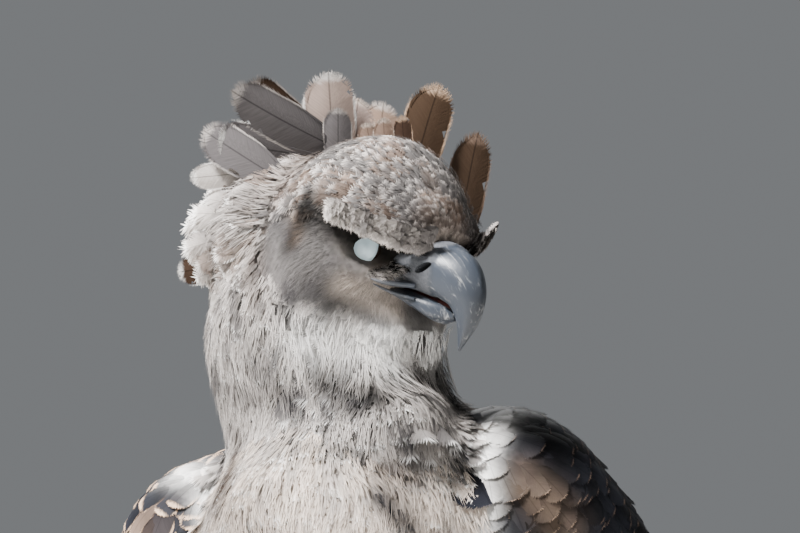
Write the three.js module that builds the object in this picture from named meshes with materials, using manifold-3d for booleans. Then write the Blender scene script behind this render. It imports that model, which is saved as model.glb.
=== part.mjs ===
// Harpy eagle, life size, standing on the ground with its head turned to its left and its crest raised.
// Millimetres, +Z up. The chest looks towards -Y and the bird's left side is +X.
// The ground is the plane that the flat undersides of its toes share.
import * as THREE from 'three';
import { mergeVertices } from 'three/addons/utils/BufferGeometryUtils.js';
import Module from 'manifold-3d';

const wasm = await Module();
wasm.setup();

// Driving sizes
const GAP = 0.35; // between two nodes that touch
const TRUNK_PITCH = 47; // degrees that the back slopes down towards the tail
const HEAD_YAW = 67; // degrees that the head is turned to the bird's left
const HEAD_PITCH = 15; // degrees that the bill points down
const HEAD_CENTRE = [4, -115, 600];
const EYE_RADIUS = 13;
const EYE_PLACE = [18.5, -25, -2]; // left eye, in the head's own axes
const WING_PARTING = 2; // from the middle of the back to each wing
// The left wing is held closer and higher than the right one.
const SHOULDER = {
  left: { joint: [64, -82, 466], radii: [44, 46, 50], arm: [42, -42, 421] },
  right: { joint: [-97, -84, 453], radii: [38, 48, 42], arm: [-52, -42, 413] },
};
const WING_END = [28, 318, 116]; // tip of the longest primary, left side
const TAIL = {
  root: [0, 118, 186], pitch: 26.2, length: 376, feathers: 12, spread: 1.7, step: 1.6, width: 48,
};
const HIP_WIDTH = 66; // half the distance between the legs
const TOE_RADIUS = 12;

const V = (x, y, z) => new THREE.Vector3(x, y, z);
const rad = THREE.MathUtils.degToRad;
const lerp = THREE.MathUtils.lerp;
const smooth = THREE.MathUtils.smoothstep;
const mirrored = (point, side) => [point[0] * side, point[1], point[2]];
const both = (make) => [make(1), make(-1)];
const SIDES = [['left', 1], ['right', -1]];

// Small repeatable variation between feathers, from -1 to 1
function waver(seed) {
  const wave = Math.sin(seed * 127.1 + 311.7) * 43758.5453;
  return 2 * (wave - Math.floor(wave)) - 1;
}

// Solids
function solid(positions, triangles) {
  let volume = 0;
  const p = (i) => V(positions[3 * i], positions[3 * i + 1], positions[3 * i + 2]);
  for (let i = 0; i < triangles.length; i += 3) {
    const [a, b, c] = [p(triangles[i]), p(triangles[i + 1]), p(triangles[i + 2])];
    volume += a.dot(b.cross(c));
  }
  const turned = [];
  for (let i = 0; i < triangles.length; i += 3) {
    const [a, b, c] = triangles.slice(i, i + 3);
    turned.push(a, ...(volume < 0 ? [c, b] : [b, c]));
  }
  const mesh = new wasm.Mesh({
    numProp: 3,
    vertProperties: new Float32Array(positions),
    triVerts: new Uint32Array(turned),
  });
  return new wasm.Manifold(mesh);
}

const join = (pieces) => pieces.reduce((all, piece) => all.add(piece));
const cut = (body, tools) => tools.reduce((left, tool) => left.subtract(tool), body);

function largest(body) {
  const parts = body.decompose();
  return parts.reduce((best, part) => (part.volume() > best.volume() ? part : best));
}

// A closed tube through sections that all have the same number of points.
function loft(sections) {
  const sides = sections[0].length;
  const rows = sections.length;
  const positions = sections.flatMap((ring) => ring.flatMap((q) => [q.x, q.y, q.z]));
  const triangles = [];
  for (let r = 0; r + 1 < rows; r++) {
    for (let s = 0; s < sides; s++) {
      const [a, b] = [r * sides + s, r * sides + ((s + 1) % sides)];
      triangles.push(a, b, b + sides, a, b + sides, a + sides);
    }
  }
  const last = (rows - 1) * sides;
  for (let s = 1; s + 1 < sides; s++) {
    triangles.push(0, s + 1, s, last, last + s, last + s + 1);
  }
  return solid(positions, triangles);
}

// Round section across the direction `along`, `wide` by `high` in radius.
function ring(centre, along, up, wide, high, sides) {
  const side = V().crossVectors(along, up).normalize();
  const top = V().crossVectors(side, along).normalize();
  return Array.from({ length: sides }, (_, k) => {
    const a = (2 * Math.PI * k) / sides;
    return centre.clone()
      .addScaledVector(side, wide * Math.cos(a))
      .addScaledVector(top, high * Math.sin(a));
  });
}

// A cube that takes away what lies beyond a plane
const BLOCK = 900;
function block(x, y, z) {
  const box = new THREE.BoxGeometry(BLOCK, BLOCK, BLOCK).translate(x, y, z);
  box.deleteAttribute('normal');
  box.deleteAttribute('uv');
  const merged = mergeVertices(box);
  return solid([...merged.getAttribute('position').array], [...merged.index.array]);
}

// Rounded bodies, as distance fields that are negative inside
function smoothMin(a, b, k) {
  const h = Math.max(k - Math.abs(a - b), 0) / k;
  return Math.min(a, b) - (h * h * k) / 4;
}
const blended = (k, ...fields) => (p) => fields.map((f) => f(p)).reduce((a, b) => smoothMin(a, b, k));

// Radii are across, along and square to the axis that slopes down towards the tail by `pitch` degrees.
function ellipsoid(centre, radii, pitch = 0) {
  const [c, s] = [Math.cos(rad(pitch)), Math.sin(rad(pitch))];
  return (p) => {
    const [x, y, z] = [p.x - centre[0], p.y - centre[1], p.z - centre[2]];
    const q = V(x, y * c - z * s, y * s + z * c);
    const near = q.clone().divide(V(...radii));
    const far = near.clone().divide(V(...radii));
    const k = near.length();
    return far.length() < 1e-9 ? -Math.min(...radii) : (k * (k - 1)) / far.length();
  };
}

function capsule(from, to, startRadius, endRadius) {
  const [a, b] = [V(...from), V(...to)];
  const axis = b.clone().sub(a);
  return (p) => {
    const t = THREE.MathUtils.clamp(p.clone().sub(a).dot(axis) / axis.lengthSq(), 0, 1);
    return p.distanceTo(a.clone().addScaledVector(axis, t)) - lerp(startRadius, endRadius, t);
  };
}

const REACH = 420;
const HALVINGS = 30;
// How far the surface lies from `centre` along `direction`, at the level `grow` outside it.
function reach(field, centre, direction, grow = 0) {
  let [inside, outside] = [0, REACH];
  for (let i = 0; i < HALVINGS; i++) {
    const middle = (inside + outside) / 2;
    const p = centre.clone().addScaledVector(direction, middle);
    if (field(p) < grow) inside = middle;
    else outside = middle;
  }
  return inside;
}

// A body whose whole surface is in sight of its centre.
function bodyOf(field, centre, detail, grow = 0, place = new THREE.Matrix4()) {
  const ball = new THREE.IcosahedronGeometry(1, detail);
  ball.deleteAttribute('normal');
  ball.deleteAttribute('uv');
  const merged = mergeVertices(ball, 1e-5);
  const spots = merged.getAttribute('position');
  const middle = V(...centre);
  const positions = [];
  for (let i = 0; i < spots.count; i++) {
    const direction = V().fromBufferAttribute(spots, i).normalize();
    const p = middle.clone().addScaledVector(direction, reach(field, middle, direction, grow));
    positions.push(...p.applyMatrix4(place));
  }
  return solid(positions, [...merged.index.array]);
}

// Feathers
// One feather is a thin blade from `root` along `along`, with its outer side towards `face`. It widens to
// `width`, rounds off at its tip, curls back by `bend` and to its side by `sway`, both as parts of its length,
// and is turned about its length by `roll` degrees. Its two faces carry the same triangles. With `across` of 3
// the middle line is raised as the shaft.
const LONG_BLADE = [[0, 0.5], [0.3, 0.86], [0.72, 1], [0.93, 0.72], [1, 0.26]];
const SHORT_BLADE = [[0, 0.6], [0.6, 1], [0.88, 0.74], [1, 0.26]];
function feather(shape) {
  const { root, along, face, length, width, thick = 1.2, bend = 0, sway = 0, roll = 0, across = 2 } = shape;
  const ahead = along.clone().normalize();
  const turned = face.clone().applyAxisAngle(ahead, rad(roll));
  const sideways = V().crossVectors(ahead, turned).normalize();
  const out = V().crossVectors(sideways, ahead).normalize();
  const outline = shape.long ? LONG_BLADE : SHORT_BLADE;
  const positions = [];
  for (const [t, part] of outline) {
    const centre = root.clone()
      .addScaledVector(ahead, length * t)
      .addScaledVector(out, bend * length * t * t)
      .addScaledVector(sideways, sway * length * t * t);
    const half = (width / 2) * part;
    const deep = (thick / 2) * (t === 1 ? 0.6 : 1);
    for (const level of [1, -1]) {
      for (let k = 0; k < across; k++) {
        const u = (2 * k) / (across - 1) - 1;
        const ridge = u === 0 ? width * 0.05 : 0;
        positions.push(...centre.clone()
          .addScaledVector(sideways, u * half)
          .addScaledVector(out, level * deep + ridge));
      }
    }
  }
  const triangles = [];
  const quad = (a, b, c, d) => triangles.push(a, b, c, a, c, d);
  const perRow = 2 * across;
  const rows = outline.length - 1;
  for (let r = 0; r < rows; r++) {
    const [near, far] = [r * perRow, (r + 1) * perRow];
    for (let k = 0; k + 1 < across; k++) {
      quad(near + k, near + k + 1, far + k + 1, far + k);
      triangles.push(near + across + k, far + across + k + 1, near + across + k + 1);
      triangles.push(near + across + k, far + across + k, far + across + k + 1);
    }
    quad(near + across, near, far, far + across);
    quad(near + across - 1, near + 2 * across - 1, far + 2 * across - 1, far + across - 1);
  }
  const end = rows * perRow;
  for (let k = 0; k + 1 < across; k++) {
    quad(across + k, across + k + 1, k + 1, k);
    quad(end + k, end + k + 1, end + across + k + 1, end + across + k);
  }
  return solid(positions, triangles);
}

// Feathers that stop short of their neighbours, on the core that carries them
const feathered = (core, shapes, clearOf = []) =>
  join([core, ...shapes.map((shape) => cut(feather(shape), clearOf))]);

// The outward direction of a field at a point
function normalAt(field, p) {
  const step = 0.5;
  const slope = (d) => field(p.clone().add(d)) - field(p.clone().sub(d));
  return V(slope(V(step, 0, 0)), slope(V(0, step, 0)), slope(V(0, 0, step))).normalize();
}

// A feather that grows out of a surface, lies along `flow` and stands off it by `lift` degrees.
function planted(field, from, direction, flow, lift, shape) {
  const spot = from.clone().addScaledVector(direction, reach(field, from, direction));
  const normal = normalAt(field, spot);
  const lie = flow.clone().addScaledVector(normal, -flow.dot(normal)).normalize();
  const [c, s] = [Math.cos(rad(lift)), Math.sin(rad(lift))];
  const along = lie.clone().multiplyScalar(c).addScaledVector(normal, s);
  const face = normal.clone().multiplyScalar(c).addScaledVector(lie, -s);
  const sunk = shape.sunk ?? 5;
  const root = spot.addScaledVector(normal, -sunk * 0.5).addScaledVector(along, -sunk);
  return { ...shape, root, along, face };
}

const placed = (shape, matrix) => ({
  ...shape,
  root: shape.root.clone().applyMatrix4(matrix),
  along: shape.along.clone().transformDirection(matrix),
  face: shape.face.clone().transformDirection(matrix),
});

// Head, in its own axes: +X its left, -Y where the bill points, +Z up, origin in the middle of the skull
const headPlace = new THREE.Matrix4()
  .makeTranslation(...HEAD_CENTRE)
  .multiply(new THREE.Matrix4().makeRotationZ(rad(HEAD_YAW)))
  .multiply(new THREE.Matrix4().makeRotationX(rad(HEAD_PITCH)));

const headField = blended(
  14,
  ellipsoid([0, 0, -2], [52, 54, 42]),
  ellipsoid([0, -12, 15], [41, 42, 36]),
  ...both((side) => ellipsoid([28 * side, -6, -20], [31, 33, 33])),
  ellipsoid([0, 40, -13], [68, 32, 52]),
  ellipsoid([0, -26, -40], [33, 32, 25]),
  ellipsoid([0, -32, -6], [13, 13, 11]),
  ellipsoid([0, -42, 14], [19, 17, 15]),
  ...both((side) => capsule([13 * side, -55, 5], [30 * side, -37, 9], 3.5, 5)),
  ...both((side) => capsule([30 * side, -37, 9], [44 * side, -8, 14], 5, 6)),
);
// The eye lies deep under the brow.
const SOCKET = { centre: [34, -37, -3], radii: [13, 12, 9.5] };
const socket = (side) =>
  bodyOf(ellipsoid(mirrored(SOCKET.centre, side), SOCKET.radii), mirrored(SOCKET.centre, side), 2, 0, headPlace);

const eyeField = (side, radius) => ellipsoid(mirrored(EYE_PLACE, side), [radius, radius, radius]);
const eye = (side, grow, radius = EYE_RADIUS, detail = 2) =>
  bodyOf(eyeField(side, radius), mirrored(EYE_PLACE, side), detail, grow, headPlace);

// Eyelids: a thin shell over the eyeball, open in an almond that slants down towards the bill
const LID = { thick: 1.9, opening: [10.5, 5.6], slant: 14, outward: 34 };
function lidOpening(side) {
  const out = V(side * Math.cos(rad(LID.outward)), -Math.sin(rad(LID.outward)), 0);
  const start = V(...mirrored(EYE_PLACE, side)).addScaledVector(out, 4);
  const tilt = V(0, 0, 1).applyAxisAngle(out, rad(-LID.slant * side));
  const sections = [0, 1].map((t) => ring(
    start.clone().addScaledVector(out, 24 * t), out, tilt,
    LID.opening[0] * lerp(0.8, 1.15, t), LID.opening[1] * lerp(0.8, 1.15, t), 10,
  ).map((q) => q.applyMatrix4(headPlace)));
  return loft(sections);
}

// Crest feathers: place on the arc from ear to ear in degrees, then how far each reaches to the bird's left,
// to the back and up, and its width
const CREST_ARC = { half: 47, back: 34, foot: 6, rise: 30, sunk: 12 };
const CREST = [
  [-5, 9, 12, 37, 29], [-28, -30, 13, 27, 24], [-38, -37, 15, 20, 21], [-54, -25, 11, 9, 26],
  [-75, -27, 17, 0, 13], [9, 14, 5, 19, 22], [30, 18, 14, 20, 20], [57, 34, 5, 45, 23],
  [78, 53, 3, 30, 24], [92, 40, 14, 12, 18],
];
function crest() {
  const shapes = CREST.map(([place, left, back, up, width], i) => {
    const a = rad(place);
    const spot = V(CREST_ARC.half * Math.sin(a), CREST_ARC.back, CREST_ARC.foot + CREST_ARC.rise * Math.cos(a));
    const along = V(left, back, up);
    const length = along.length();
    along.normalize();
    const root = spot.clone().addScaledVector(along, -CREST_ARC.sunk);
    const face = V(-0.25 + 0.15 * waver(i), -1, 0.35);
    return {
      root, along, face, length: length + CREST_ARC.sunk, width, thick: 1.3, bend: -0.08,
      sway: 0.05 * waver(i + 9), across: 3,
    };
  });
  // Shorter feathers fill the foot of the crest.
  for (let i = 0; i < 4; i++) {
    const a = rad(lerp(-58, 60, i / 3));
    const from = V(0, 20, 0);
    const towards = V(Math.sin(a), 0.32, Math.cos(a)).normalize();
    const flow = V(0.5 * Math.sin(a), 1, 0.2);
    shapes.push(planted(headField, from, towards, flow, 46 + 6 * waver(i), {
      length: 25 + 4 * waver(i + 3), width: 21, bend: -0.1, sunk: 6,
    }));
  }
  return shapes;
}

// Ruff: tiers of flat feathers round the back of the face, from the crown down to the throat on each side
const RUFF = { tiers: 2, perTier: 4, length: 33, width: 31, lift: 15, roll: 8 };
function ruff() {
  const shapes = [];
  for (const [, side] of SIDES) {
    for (let tier = 0; tier < RUFF.tiers; tier++) {
      for (let k = 0; k < RUFF.perTier; k++) {
        const seed = 40 + tier * 17 + k * 3 + side;
        const round = rad(lerp(38, 158, (k + 0.5 * (tier % 2)) / (RUFF.perTier - 0.5)) + 2.5 * waver(seed));
        const rearward = lerp(0.2, 1.1, tier / (RUFF.tiers - 1)) - 0.35 * smooth(round, 1.8, 2.8);
        const towards = V(side * Math.sin(round), rearward, Math.cos(round) - 0.15).normalize();
        const flow = V(0.12 * side * Math.sin(round), 1, -0.5);
        shapes.push(planted(headField, V(0, 16, -10), towards, flow, RUFF.lift + 4 * waver(seed + 1), {
          length: RUFF.length * (1 + 0.14 * waver(seed + 2)), width: RUFF.width, bend: -0.12,
          sway: 0.08 * waver(seed + 4), roll: -side * RUFF.roll, sunk: 6,
        }));
      }
    }
  }
  return shapes;
}

const headCore = (grow) => bodyOf(headField, [0, -12, -4], 6, grow, headPlace);
function head(clearOf) {
  const lids = both((side) => cut(eye(side, LID.thick), [lidOpening(side)]));
  const shapes = [...crest(), ...ruff()].map((shape) => placed(shape, headPlace));
  return feathered(join([cut(headCore(0), both(socket)), ...lids]), shapes, clearOf);
}

// Bill: sections from the forehead to the tip, each from the ridge to the cutting edge
const UPPER_BILL = { rows: 10, sides: 12, baseWidth: 18.5 };
function upperBill(grow) {
  const { rows, sides, baseWidth } = UPPER_BILL;
  const culmen = new THREE.CatmullRomCurve3([
    V(0, -45, 8), V(0, -61, 8), V(0, -76, 4.5), V(0, -85, -3), V(0, -89.5, -13), V(0, -88, -26), V(0, -80.5, -40),
  ]);
  const cutting = new THREE.CatmullRomCurve3([
    V(0, -32, -17), V(0, -46, -16.6), V(0, -60, -16.6), V(0, -69, -17.5), V(0, -75, -20.5), V(0, -78.5, -27),
    V(0, -79.6, -39),
  ]);
  const sections = [];
  for (let r = 0; r <= rows; r++) {
    const t = r / rows;
    const [top, low] = [culmen.getPoint(t), cutting.getPoint(t)];
    const half = baseWidth * Math.pow(1 - t, 0.75) * (1 + 0.25 * Math.max(0, 0.35 - t)) + 0.9 + grow;
    const middle = top.clone().add(low).multiplyScalar(0.5);
    const rise = top.clone().sub(low).multiplyScalar(0.5);
    const high = rise.length() + grow;
    rise.normalize();
    sections.push(Array.from({ length: sides }, (_, k) => {
      const a = (2 * Math.PI * k) / sides;
      const lift = Math.sin(a);
      const spread = Math.cos(a) * (1 - 0.28 * Math.max(0, lift)) * half;
      return middle.clone().addScaledVector(rise, lift * high).add(V(spread, 0, 0)).applyMatrix4(headPlace);
    }));
  }
  return loft(sections);
}

// Nostrils: slits through the side of the soft base of the bill
const NOSTRIL = { place: [12, -61.5, -5], length: 9, width: 3.2, slant: 35 };
function nostril(side) {
  const slope = V(0, -Math.cos(rad(NOSTRIL.slant)), Math.sin(rad(NOSTRIL.slant)));
  const sections = [-0.5, 0.5].map((t) => ring(
    V(...mirrored(NOSTRIL.place, side)).add(V(9 * t * side, 0, 0)), V(side, 0, 0), slope,
    NOSTRIL.width / 2, NOSTRIL.length / 2, 6,
  ).map((q) => q.applyMatrix4(headPlace)));
  return loft(sections);
}

const LOWER_BILL = { rows: 6, sides: 10, baseWidth: 16.5 };
function lowerBill(grow) {
  const { rows, sides, baseWidth } = LOWER_BILL;
  const rim = new THREE.CatmullRomCurve3([
    V(0, -30, -18.6), V(0, -48, -18.4), V(0, -63, -19.6), V(0, -73.5, -23),
  ]);
  const keel = new THREE.CatmullRomCurve3([
    V(0, -30, -28), V(0, -48, -29.5), V(0, -63, -31), V(0, -75, -27.5),
  ]);
  const sections = [];
  for (let r = 0; r <= rows; r++) {
    const t = r / rows;
    const [top, low] = [rim.getPoint(t), keel.getPoint(t)];
    const half = baseWidth * Math.pow(1 - t, 0.6) + 2.2 + grow;
    const middle = top.clone().add(low).multiplyScalar(0.5);
    const rise = top.clone().sub(low).multiplyScalar(0.5);
    const high = rise.length() + grow;
    rise.normalize();
    sections.push(Array.from({ length: sides }, (_, k) => {
      const a = (2 * Math.PI * (k + 0.5)) / sides;
      const lift = Math.sign(Math.sin(a)) * Math.pow(Math.abs(Math.sin(a)), 0.7);
      return middle.clone().addScaledVector(rise, lift * high)
        .add(V(half * Math.cos(a), 0, 0)).applyMatrix4(headPlace);
    }));
  }
  return loft(sections);
}

// The mouth runs on as a crease in the cheek, from the corner of the bill to under the eye.
const CREASE = { from: [17, -46, -17.8], to: [31, -27, -17], wide: 1.4, deep: 7 };
function crease(side) {
  const [a, b] = [V(...mirrored(CREASE.from, side)), V(...mirrored(CREASE.to, side))];
  const along = b.clone().sub(a).normalize();
  const sections = [a, b].map((q, i) => ring(
    q, along, V(0, 0, 1), CREASE.deep, CREASE.wide / (i ? 2.4 : 1), 4,
  ).map((point) => point.applyMatrix4(headPlace)));
  return loft(sections);
}

// Trunk and neck
const torsoField = blended(
  30,
  ellipsoid([0, -92, 425], [88, 112, 84], TRUNK_PITCH),
  ellipsoid([0, -12, 322], [90, 128, 84], TRUNK_PITCH),
  ellipsoid([0, 66, 240], [62, 78, 52], TRUNK_PITCH),
  ellipsoid([0, -14, 384], [58, 148, 88], TRUNK_PITCH),
  ellipsoid([0, 112, 228], [46, 84, 40], 42),
);
const torso = (grow) => bodyOf(torsoField, [0, -4, 326], 5, grow);

const neckField = blended(
  24,
  ellipsoid([-20, -112, 552], [60, 60, 60]),
  ellipsoid([-10, -106, 510], [58, 58, 50]),
  ellipsoid([-2, -98, 472], [72, 64, 46]),
  ellipsoid([26, -140, 500], [35, 33, 32]),
);
const neck = (grow) => bodyOf(neckField, [-8, -108, 515], 4, grow);

// Wings, folded along the trunk
// Each wraps round the flank and over the back, up to the feathers between the shoulders.
const wingField = (name, side) => blended(
  22,
  ellipsoid(SHOULDER[name].joint, SHOULDER[name].radii),
  ellipsoid(SHOULDER[name].arm, [86, 112, 78], TRUNK_PITCH),
  ellipsoid([36 * side, 44, 334], [84, 132, 72], TRUNK_PITCH),
  ellipsoid([66 * side, 112, 256], [26, 84, 38], 40),
);
const wingCore = (name, side, grow) => bodyOf(wingField(name, side), [54 * side, 14, 356], 4, grow);
const beyondMiddle = (side) => block(side * (WING_PARTING - BLOCK / 2), 0, 300);

// Directions in the folded wing: down the back, and square to it
const downBack = V(0, Math.cos(rad(TRUNK_PITCH)), -Math.sin(rad(TRUNK_PITCH)));
const upBack = V(0, Math.sin(rad(TRUNK_PITCH)), Math.cos(rad(TRUNK_PITCH)));
const WING_AXIS = [50, -24, 392]; // a point inside the wing, from which its tiers are counted down the back

// Coverts: tiers of overlapping feathers that grow longer down the wing
const COVERTS = { tiers: 5, first: -62, last: 112, perTier: 4, lowest: -32, highest: 84, roll: 9 };
function coverts(name, side) {
  const field = wingField(name, side);
  const shapes = [];
  for (let tier = 0; tier < COVERTS.tiers; tier++) {
    const share = tier / (COVERTS.tiers - 1);
    const from = V(...mirrored(WING_AXIS, side))
      .addScaledVector(downBack, lerp(COVERTS.first, COVERTS.last, share));
    for (let k = 0; k < COVERTS.perTier; k++) {
      const seed = 200 + tier * 23 + k * 5 + side;
      const spread = (k + 0.5 * (tier % 2)) / (COVERTS.perTier - 0.5);
      const round = rad(lerp(COVERTS.lowest, COVERTS.highest, spread) + 2 * waver(seed));
      const towards = V(side * Math.cos(round), 0, 0).addScaledVector(upBack, Math.sin(round));
      const flow = downBack.clone().add(V(-0.12 * side, 0, 0.1));
      shapes.push(planted(field, from, towards, flow, 8 + 1.5 * waver(seed + 1), {
        length: lerp(50, 72, share) * (1 + 0.07 * waver(seed + 2)), width: lerp(44, 48, share), bend: -0.06,
        roll: -side * COVERTS.roll, sunk: 7,
      }));
    }
  }
  return shapes;
}

// Flight feathers: one stack, from the longest primary at its foot to the innermost secondary on top. Each
// lies a step further out and ends further up the wing.
const FLIGHT = {
  count: 8, slope: [-0.243, 0.757, -0.604], outward: [0.5, 0.68, 0.65], step: 1.7,
  reach: 272, back: 168, tipFan: 4.8, rootFan: [-12, 12.4], width: [32, 50],
};
function flight(side) {
  const slope = V(...mirrored(FLIGHT.slope, side)).normalize();
  const outward = V(...mirrored(FLIGHT.outward, side)).projectOnPlane(slope).normalize();
  const inward = V().crossVectors(outward, slope).multiplyScalar(side);
  return Array.from({ length: FLIGHT.count }, (_, k) => {
    const share = k / (FLIGHT.count - 1);
    const level = V(...mirrored(WING_END, side)).addScaledVector(outward, k * FLIGHT.step);
    const tip = level.clone()
      .addScaledVector(slope, -FLIGHT.back * Math.pow(share, 0.85) + 3 * waver(k + 70))
      .addScaledVector(inward, FLIGHT.tipFan * k);
    const root = level.clone()
      .addScaledVector(slope, -FLIGHT.reach)
      .addScaledVector(inward, FLIGHT.rootFan[0] + FLIGHT.rootFan[1] * k);
    const along = tip.clone().sub(root);
    return { root, along, face: outward, length: along.length(), width: lerp(...FLIGHT.width, share), long: true };
  });
}
const wing = (name, side, clearOf) =>
  feathered(wingCore(name, side, 0), [...coverts(name, side), ...flight(side)], clearOf);

// Tail: the middle feathers lie on top, and each further one a step lower. The middle three of each side
// reach over those of the other side, so each has a step of its own.
const tailAlong = V(0, Math.cos(rad(TAIL.pitch)), -Math.sin(rad(TAIL.pitch)));
const tailUp = V(0, Math.sin(rad(TAIL.pitch)), Math.cos(rad(TAIL.pitch)));
const tailField = ellipsoid([0, 146, 168], [42, 78, 21], 31);
function rectrices() {
  const shapes = [];
  for (const [, side] of SIDES) {
    for (let k = 0; k < TAIL.feathers / 2; k++) {
      const turn = rad((k + 0.5) * TAIL.spread) * side;
      const along = tailAlong.clone().multiplyScalar(Math.cos(turn)).add(V(Math.sin(turn), 0, 0));
      const steps = k < 3 ? 2 * k + (side > 0 ? 0 : 1) : k + 3;
      const root = V(...TAIL.root).add(V((3 + 4 * k) * side, 0, 0)).addScaledVector(tailUp, -steps * TAIL.step)
        .addScaledVector(tailAlong, -4);
      const length = TAIL.length * (1 - 0.012 * k) + 2 * waver(k + 90 * side);
      shapes.push({ root, along, face: tailUp, length, width: TAIL.width, long: true });
    }
  }
  return shapes;
}
const TAIL_COVERTS = { perSide: 3, spread: 52, start: 14, length: 92, width: 42 };
function tailCoverts() {
  const shapes = [];
  for (const level of [1, -1]) {
    for (let k = 0; k < TAIL_COVERTS.perSide; k++) {
      const round = rad(90 - TAIL_COVERTS.spread * lerp(-1, 1, (k + 0.5) / TAIL_COVERTS.perSide)) * level;
      const towards = V(Math.cos(round), 0, 0).addScaledVector(tailUp, Math.sin(round));
      const from = V(0, 146, 168).addScaledVector(tailAlong, TAIL_COVERTS.start);
      shapes.push(planted(tailField, from, towards, tailAlong, 6, {
        length: TAIL_COVERTS.length, width: TAIL_COVERTS.width, bend: -0.04, roll: 7, sunk: 6,
      }));
    }
  }
  return shapes;
}
const tailCore = (grow) => bodyOf(tailField, [0, 146, 168], 2, grow);

// Legs
const ankle = (side) => [64 * side, 32, 106];
const thighField = (side) => blended(
  20,
  capsule([54 * side, -6, 252], [60 * side, 16, 178], 62, 48),
  capsule([60 * side, 16, 178], ankle(side), 48, 29),
);
const thighCore = (side, grow) => bodyOf(thighField(side), [58 * side, 14, 190], 4, grow);

// Scutes: each plate stands out where it starts and slopes down to the next
const plate = (t, count) => 1 - ((t * count) % 1);
const footPlace = (side) => [HIP_WIDTH * side, 2, 0];
const TARSUS = { plates: 6, sides: 9, raised: 1.5 };
function tarsus(side, grow) {
  const foot = footPlace(side);
  const route = new THREE.LineCurve3(V(...ankle(side)).add(V(0, 0, 4)), V(foot[0], foot[1] + 2, 17));
  const sections = [];
  for (let r = 0; r <= 2 * TARSUS.plates; r++) {
    const t = Math.min((Math.floor(r / 2) + (r % 2 ? 0.9 : 0)) / TARSUS.plates, 1);
    const radius = lerp(16.5, 15, t) + 2.5 * smooth(t, 0.8, 1) + grow;
    const points = ring(route.getPoint(t), route.getTangent(t), V(0, -1, 0), radius, radius, TARSUS.sides);
    const centre = route.getPoint(t);
    sections.push(points.map((q) => {
      const out = q.clone().sub(centre).normalize();
      return q.addScaledVector(out, TARSUS.raised * Math.max(0, -out.y) * (r % 2 ? 0 : 1));
    }));
  }
  return loft(sections);
}

// Toes: name, heading in degrees from straight ahead (outwards is positive), length, claw length and plates
const TOES = [
  ['inner', -28, 74, 62, 3],
  ['middle', 2, 94, 54, 4],
  ['outer', 36, 76, 44, 3],
  ['hind', 172, 56, 74, 2],
];
const heading = (side, degrees) => V(side * Math.sin(rad(degrees)), -Math.cos(rad(degrees)), 0);
const TOE = { sides: 6, raised: 1.6, bare: 0.32 };
function toe(side, [, degrees, length, , plates], grow) {
  const way = heading(side, degrees);
  const start = V(...footPlace(side)).add(V(0, 0, 15));
  const route = new THREE.CatmullRomCurve3([
    start.clone(),
    start.clone().addScaledVector(way, length * 0.35).setZ(14),
    start.clone().addScaledVector(way, length * 0.7).setZ(10),
    start.clone().addScaledVector(way, length).setZ(13.5),
  ]);
  const sections = [];
  for (let r = -1; r <= 2 * plates; r++) {
    const t = r < 0 ? 0 : lerp(TOE.bare, 1, Math.min((Math.floor(r / 2) + (r % 2 ? 0.85 : 0)) / plates, 1));
    const high = r >= 0 && r % 2 === 0 && r < 2 * plates;
    const radius = lerp(TOE_RADIUS + 2, TOE_RADIUS - 1.5, t) * (r === 2 * plates ? 0.8 : 1) + grow;
    const centre = route.getPoint(t);
    const points = ring(centre, route.getTangent(t), V(0, 0, 1), radius, radius, TOE.sides);
    sections.push(points.map((q) => {
      const out = q.clone().sub(centre).normalize();
      return q.addScaledVector(out, high ? TOE.raised * Math.max(0, out.z) : 0);
    }));
  }
  return loft(sections);
}

const CLAW = { start: -42, end: 62, deep: 0.118, rows: 6, sides: 6 };
function claw(side, [, degrees, length, clawLength], grow) {
  const way = heading(side, degrees);
  const [start, end] = [rad(CLAW.start), rad(CLAW.end)];
  const root = V(...footPlace(side)).addScaledVector(way, length - 5).setZ(15);
  const radius = clawLength / (end - start);
  const sections = [];
  for (let r = 0; r <= CLAW.rows; r++) {
    const t = r / CLAW.rows;
    const turn = lerp(start, end, t);
    const spot = root.clone()
      .addScaledVector(way, radius * (Math.sin(turn) - Math.sin(start)))
      .add(V(0, 0, radius * (Math.cos(turn) - Math.cos(start))));
    const ahead = way.clone().multiplyScalar(Math.cos(turn)).add(V(0, 0, -Math.sin(turn)));
    const thick = lerp(clawLength * CLAW.deep, 0.8, Math.pow(t, 1.25)) + grow;
    sections.push(ring(spot, ahead, V(0, 0, 1), thick * 0.8, thick, CLAW.sides));
  }
  return loft(sections);
}

// Without what is under the ground plane, the toes keep the flats that the bird stands on.
const ground = block(0, 0, -BLOCK / 2);
const foot = (side, grow) => join(TOES.map((row) => toe(side, row, grow)));

// Finishes
const finish = (color, roughness) => new THREE.MeshStandardMaterial({ color, roughness, metalness: 0 });
const PALE = finish('#d8d2cb', 0.9);
const HEAD_GREY = finish('#b9b1aa', 0.9);
const SLATE = finish('#3d4048', 0.75);
const BARRED = finish('#6b6a6c', 0.8);
const HORN = finish('#39404c', 0.35);
const YELLOW_SKIN = finish('#c9a63c', 0.6);
const EYE_COLOUR = finish('#cfd6d8', 0.15);

const eagle = new THREE.Group();
function add(name, body, material) {
  const kept = largest(body).getMesh();
  const geometry = new THREE.BufferGeometry();
  geometry.setAttribute('position', new THREE.BufferAttribute(new Float32Array(kept.vertProperties), 3));
  geometry.setIndex([...kept.triVerts]);
  geometry.computeVertexNormals();
  const mesh = new THREE.Mesh(geometry, material);
  mesh.name = name;
  eagle.add(mesh);
}

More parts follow.
